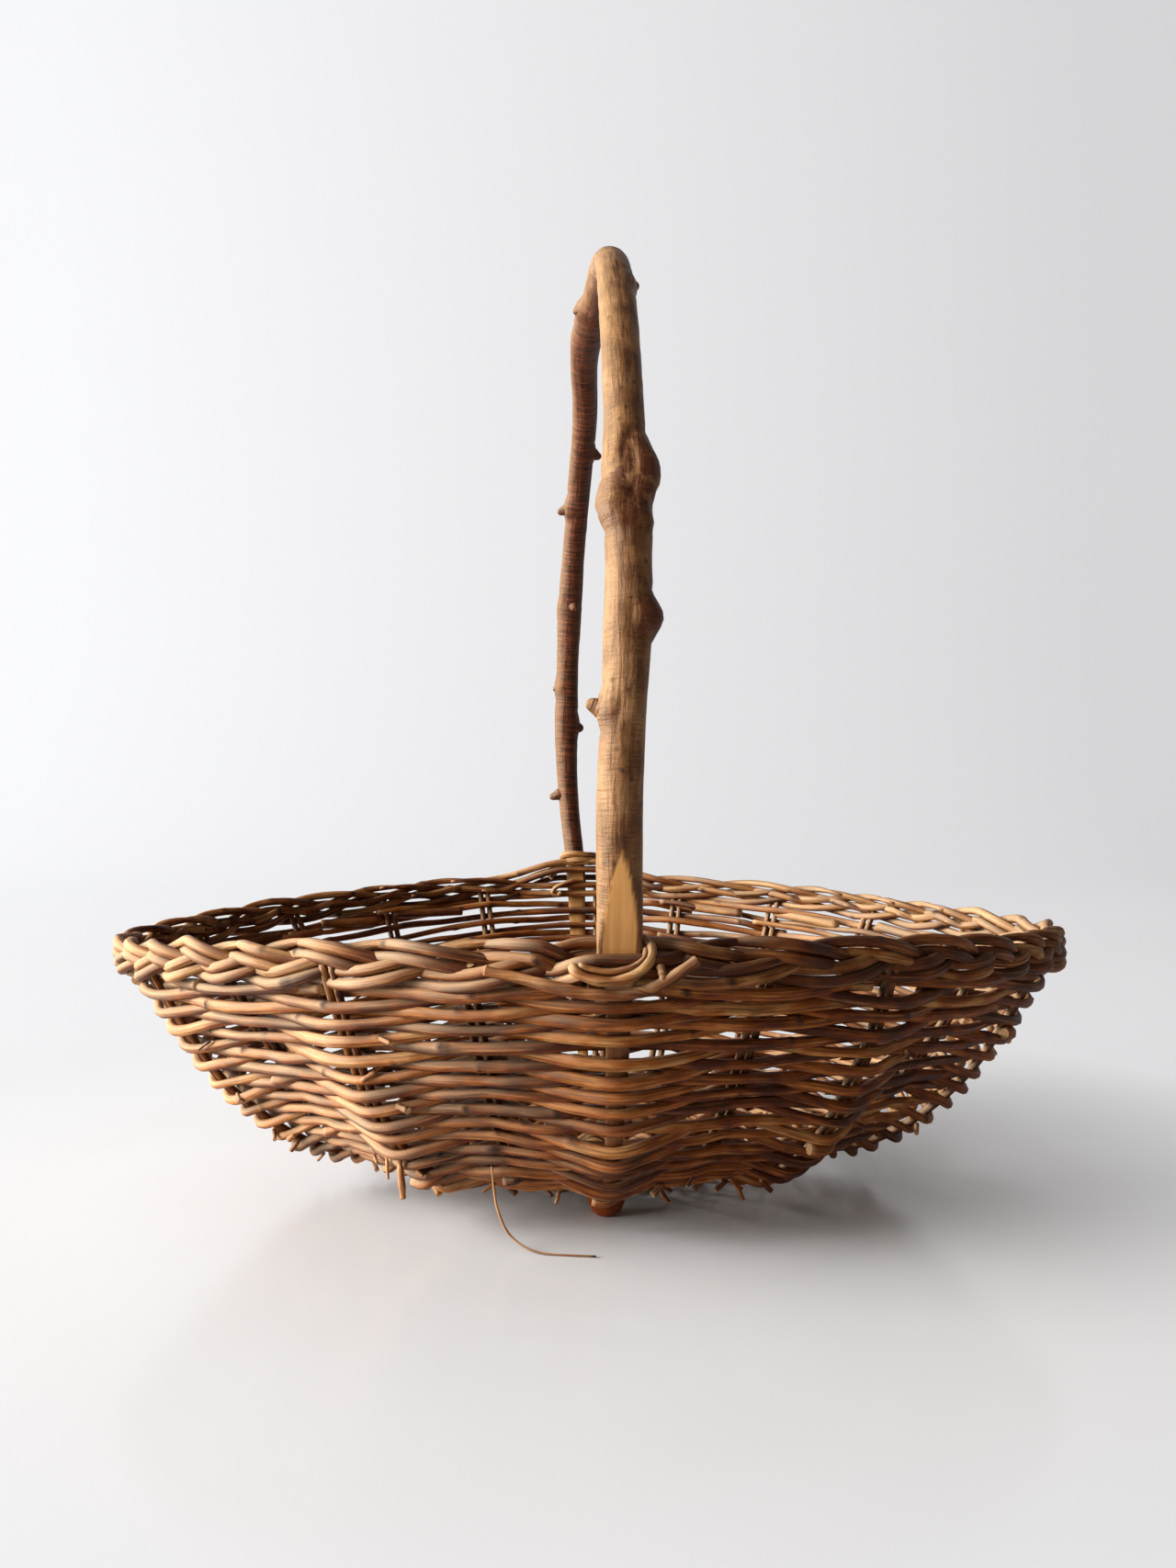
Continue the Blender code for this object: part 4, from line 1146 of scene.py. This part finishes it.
# %% Floor
def make_floor():
    """Height = 0 near the basket, then a quarter circle of radius 0.5 m, then a plain wall. The
    table's share is 1 on the table and fades to 0 before the turn, where the wall is matt."""
    columns, rows = 31, 96
    run = np.linspace(-3.2, 4.4, rows)
    bend, turn_up = 0.5, 1.7
    angle = np.clip((run - turn_up) / bend, 0, math.pi / 2)
    past = np.clip(run - turn_up - bend * math.pi / 2, 0, None)
    y = np.minimum(run, turn_up) + bend * np.sin(angle)
    z = bend * (1 - np.cos(angle)) + past
    x = np.linspace(-4.5, 4.5, columns)[:, None]
    points = np.stack(np.broadcast_arrays(x, y, z), axis=-1).reshape(-1, 3)
    number = np.arange(len(points)).reshape(columns, rows)
    quads = np.stack([number[:-1, :-1], number[1:, :-1], number[1:, 1:], number[:-1, 1:]], axis=-1)
    mesh = bpy.data.meshes.new("floor_and_backdrop")
    mesh.from_pydata(points.tolist(), [], quads.reshape(-1, 4).tolist())
    store(mesh, "table_share", 1 - smooth(points[:, 1], 0.45, 1.3))
    mesh.shade_smooth()
    made = add_object("floor_and_backdrop", mesh)
    return made


floor = make_floor()
print("floor faces:", len(floor.data.polygons))

# %% [markdown]
# The table is lacquered, so it holds a soft mirror image of the basket, and the wall is matt. A
# white room can't be had from more light without bleaching the basket. So away from the basket
# the camera, a mirror image and a see-through ray see a glow of the wall's colour in place of
# the lit surface, and all other rays see the surface itself. The glow is painted brighter at the
# left and darker at the right, as painted light falling off from the window. Near the basket the
# table stays a plain surface, which keeps the shadow.

# %% Lacquered table and matt wall
floor_paint, tree, shader = new_material("pale_lacquered_floor")
where = add_node(tree, "ShaderNodeTexCoord").outputs["Object"]
table = attribute(tree, "table_share")
set_inputs(shader, [
    ("Base Color", mix(noise(where, 9.0), "#C5C5C7", "#CCCDCF")),
    ("Roughness", remap(table, start=1.0, end=0.17)),
    ("Specular IOR Level", maths("MULTIPLY", table, 0.4))])
# Painted light: the glow fades from bright at the left to darker at the right, like the window's falloff.
side_to_side = add_node(tree, "ShaderNodeSeparateXYZ", [(0, where)]).outputs[0]
painted_window_falloff = mix(remap(side_to_side, -1.0, 1.2), "#F7F8FA", "#D9D8DA")
glow = add_node(tree, "ShaderNodeEmission", [(0, painted_window_falloff)]).outputs[0]
rays = add_node(tree, "ShaderNodeLightPath").outputs
seen = maths("MAXIMUM", rays["Is Camera Ray"], rays["Is Glossy Ray"])
seen = maths("MAXIMUM", seen, rays["Is Transmission Ray"])
from_middle = add_node(tree, "ShaderNodeVectorMath", [(0, where)], operation="LENGTH").outputs["Value"]
table_glow = remap(from_middle, 0.17, 0.46, 0.0, 0.80)
glow_share = add_node(tree, "ShaderNodeMix", [(0, table), (2, 0.9), (3, table_glow)]).outputs[0]
seen_glow = maths("MULTIPLY", seen, glow_share)
both = add_node(tree, "ShaderNodeMixShader", [(0, seen_glow), (1, shader.outputs[0]), (2, glow)])
set_inputs(tree.nodes["Material Output"], [("Surface", both.outputs[0])])
floor.data.materials.append(floor_paint)

# %% Light
LAMP_PLACE, LAMP_AIM = np.array([-2.45, -0.50, 0.98]), np.array([0, 0, 0.12])
lamp = add_object("window_lamp", bpy.data.lights.new("window_lamp", "AREA"))
lamp.data.size = 1.8
lamp.data.energy = 252.0
lamp.data.color = linear("#FFFCF8")[:3]
lamp.location = LAMP_PLACE
way = unit(LAMP_AIM - LAMP_PLACE)
lamp.rotation_euler = (math.acos(-way[2]), 0, math.atan2(way[1], way[0]) - math.pi / 2)
world = bpy.data.worlds.new("room")
bpy.context.scene.world = world
world.use_nodes = True
sky = world.node_tree.nodes["Background"]
set_inputs(sky, [("Color", linear("#F8F0E6")), ("Strength", 0.27)])
print("lamps:", len(bpy.data.lights))
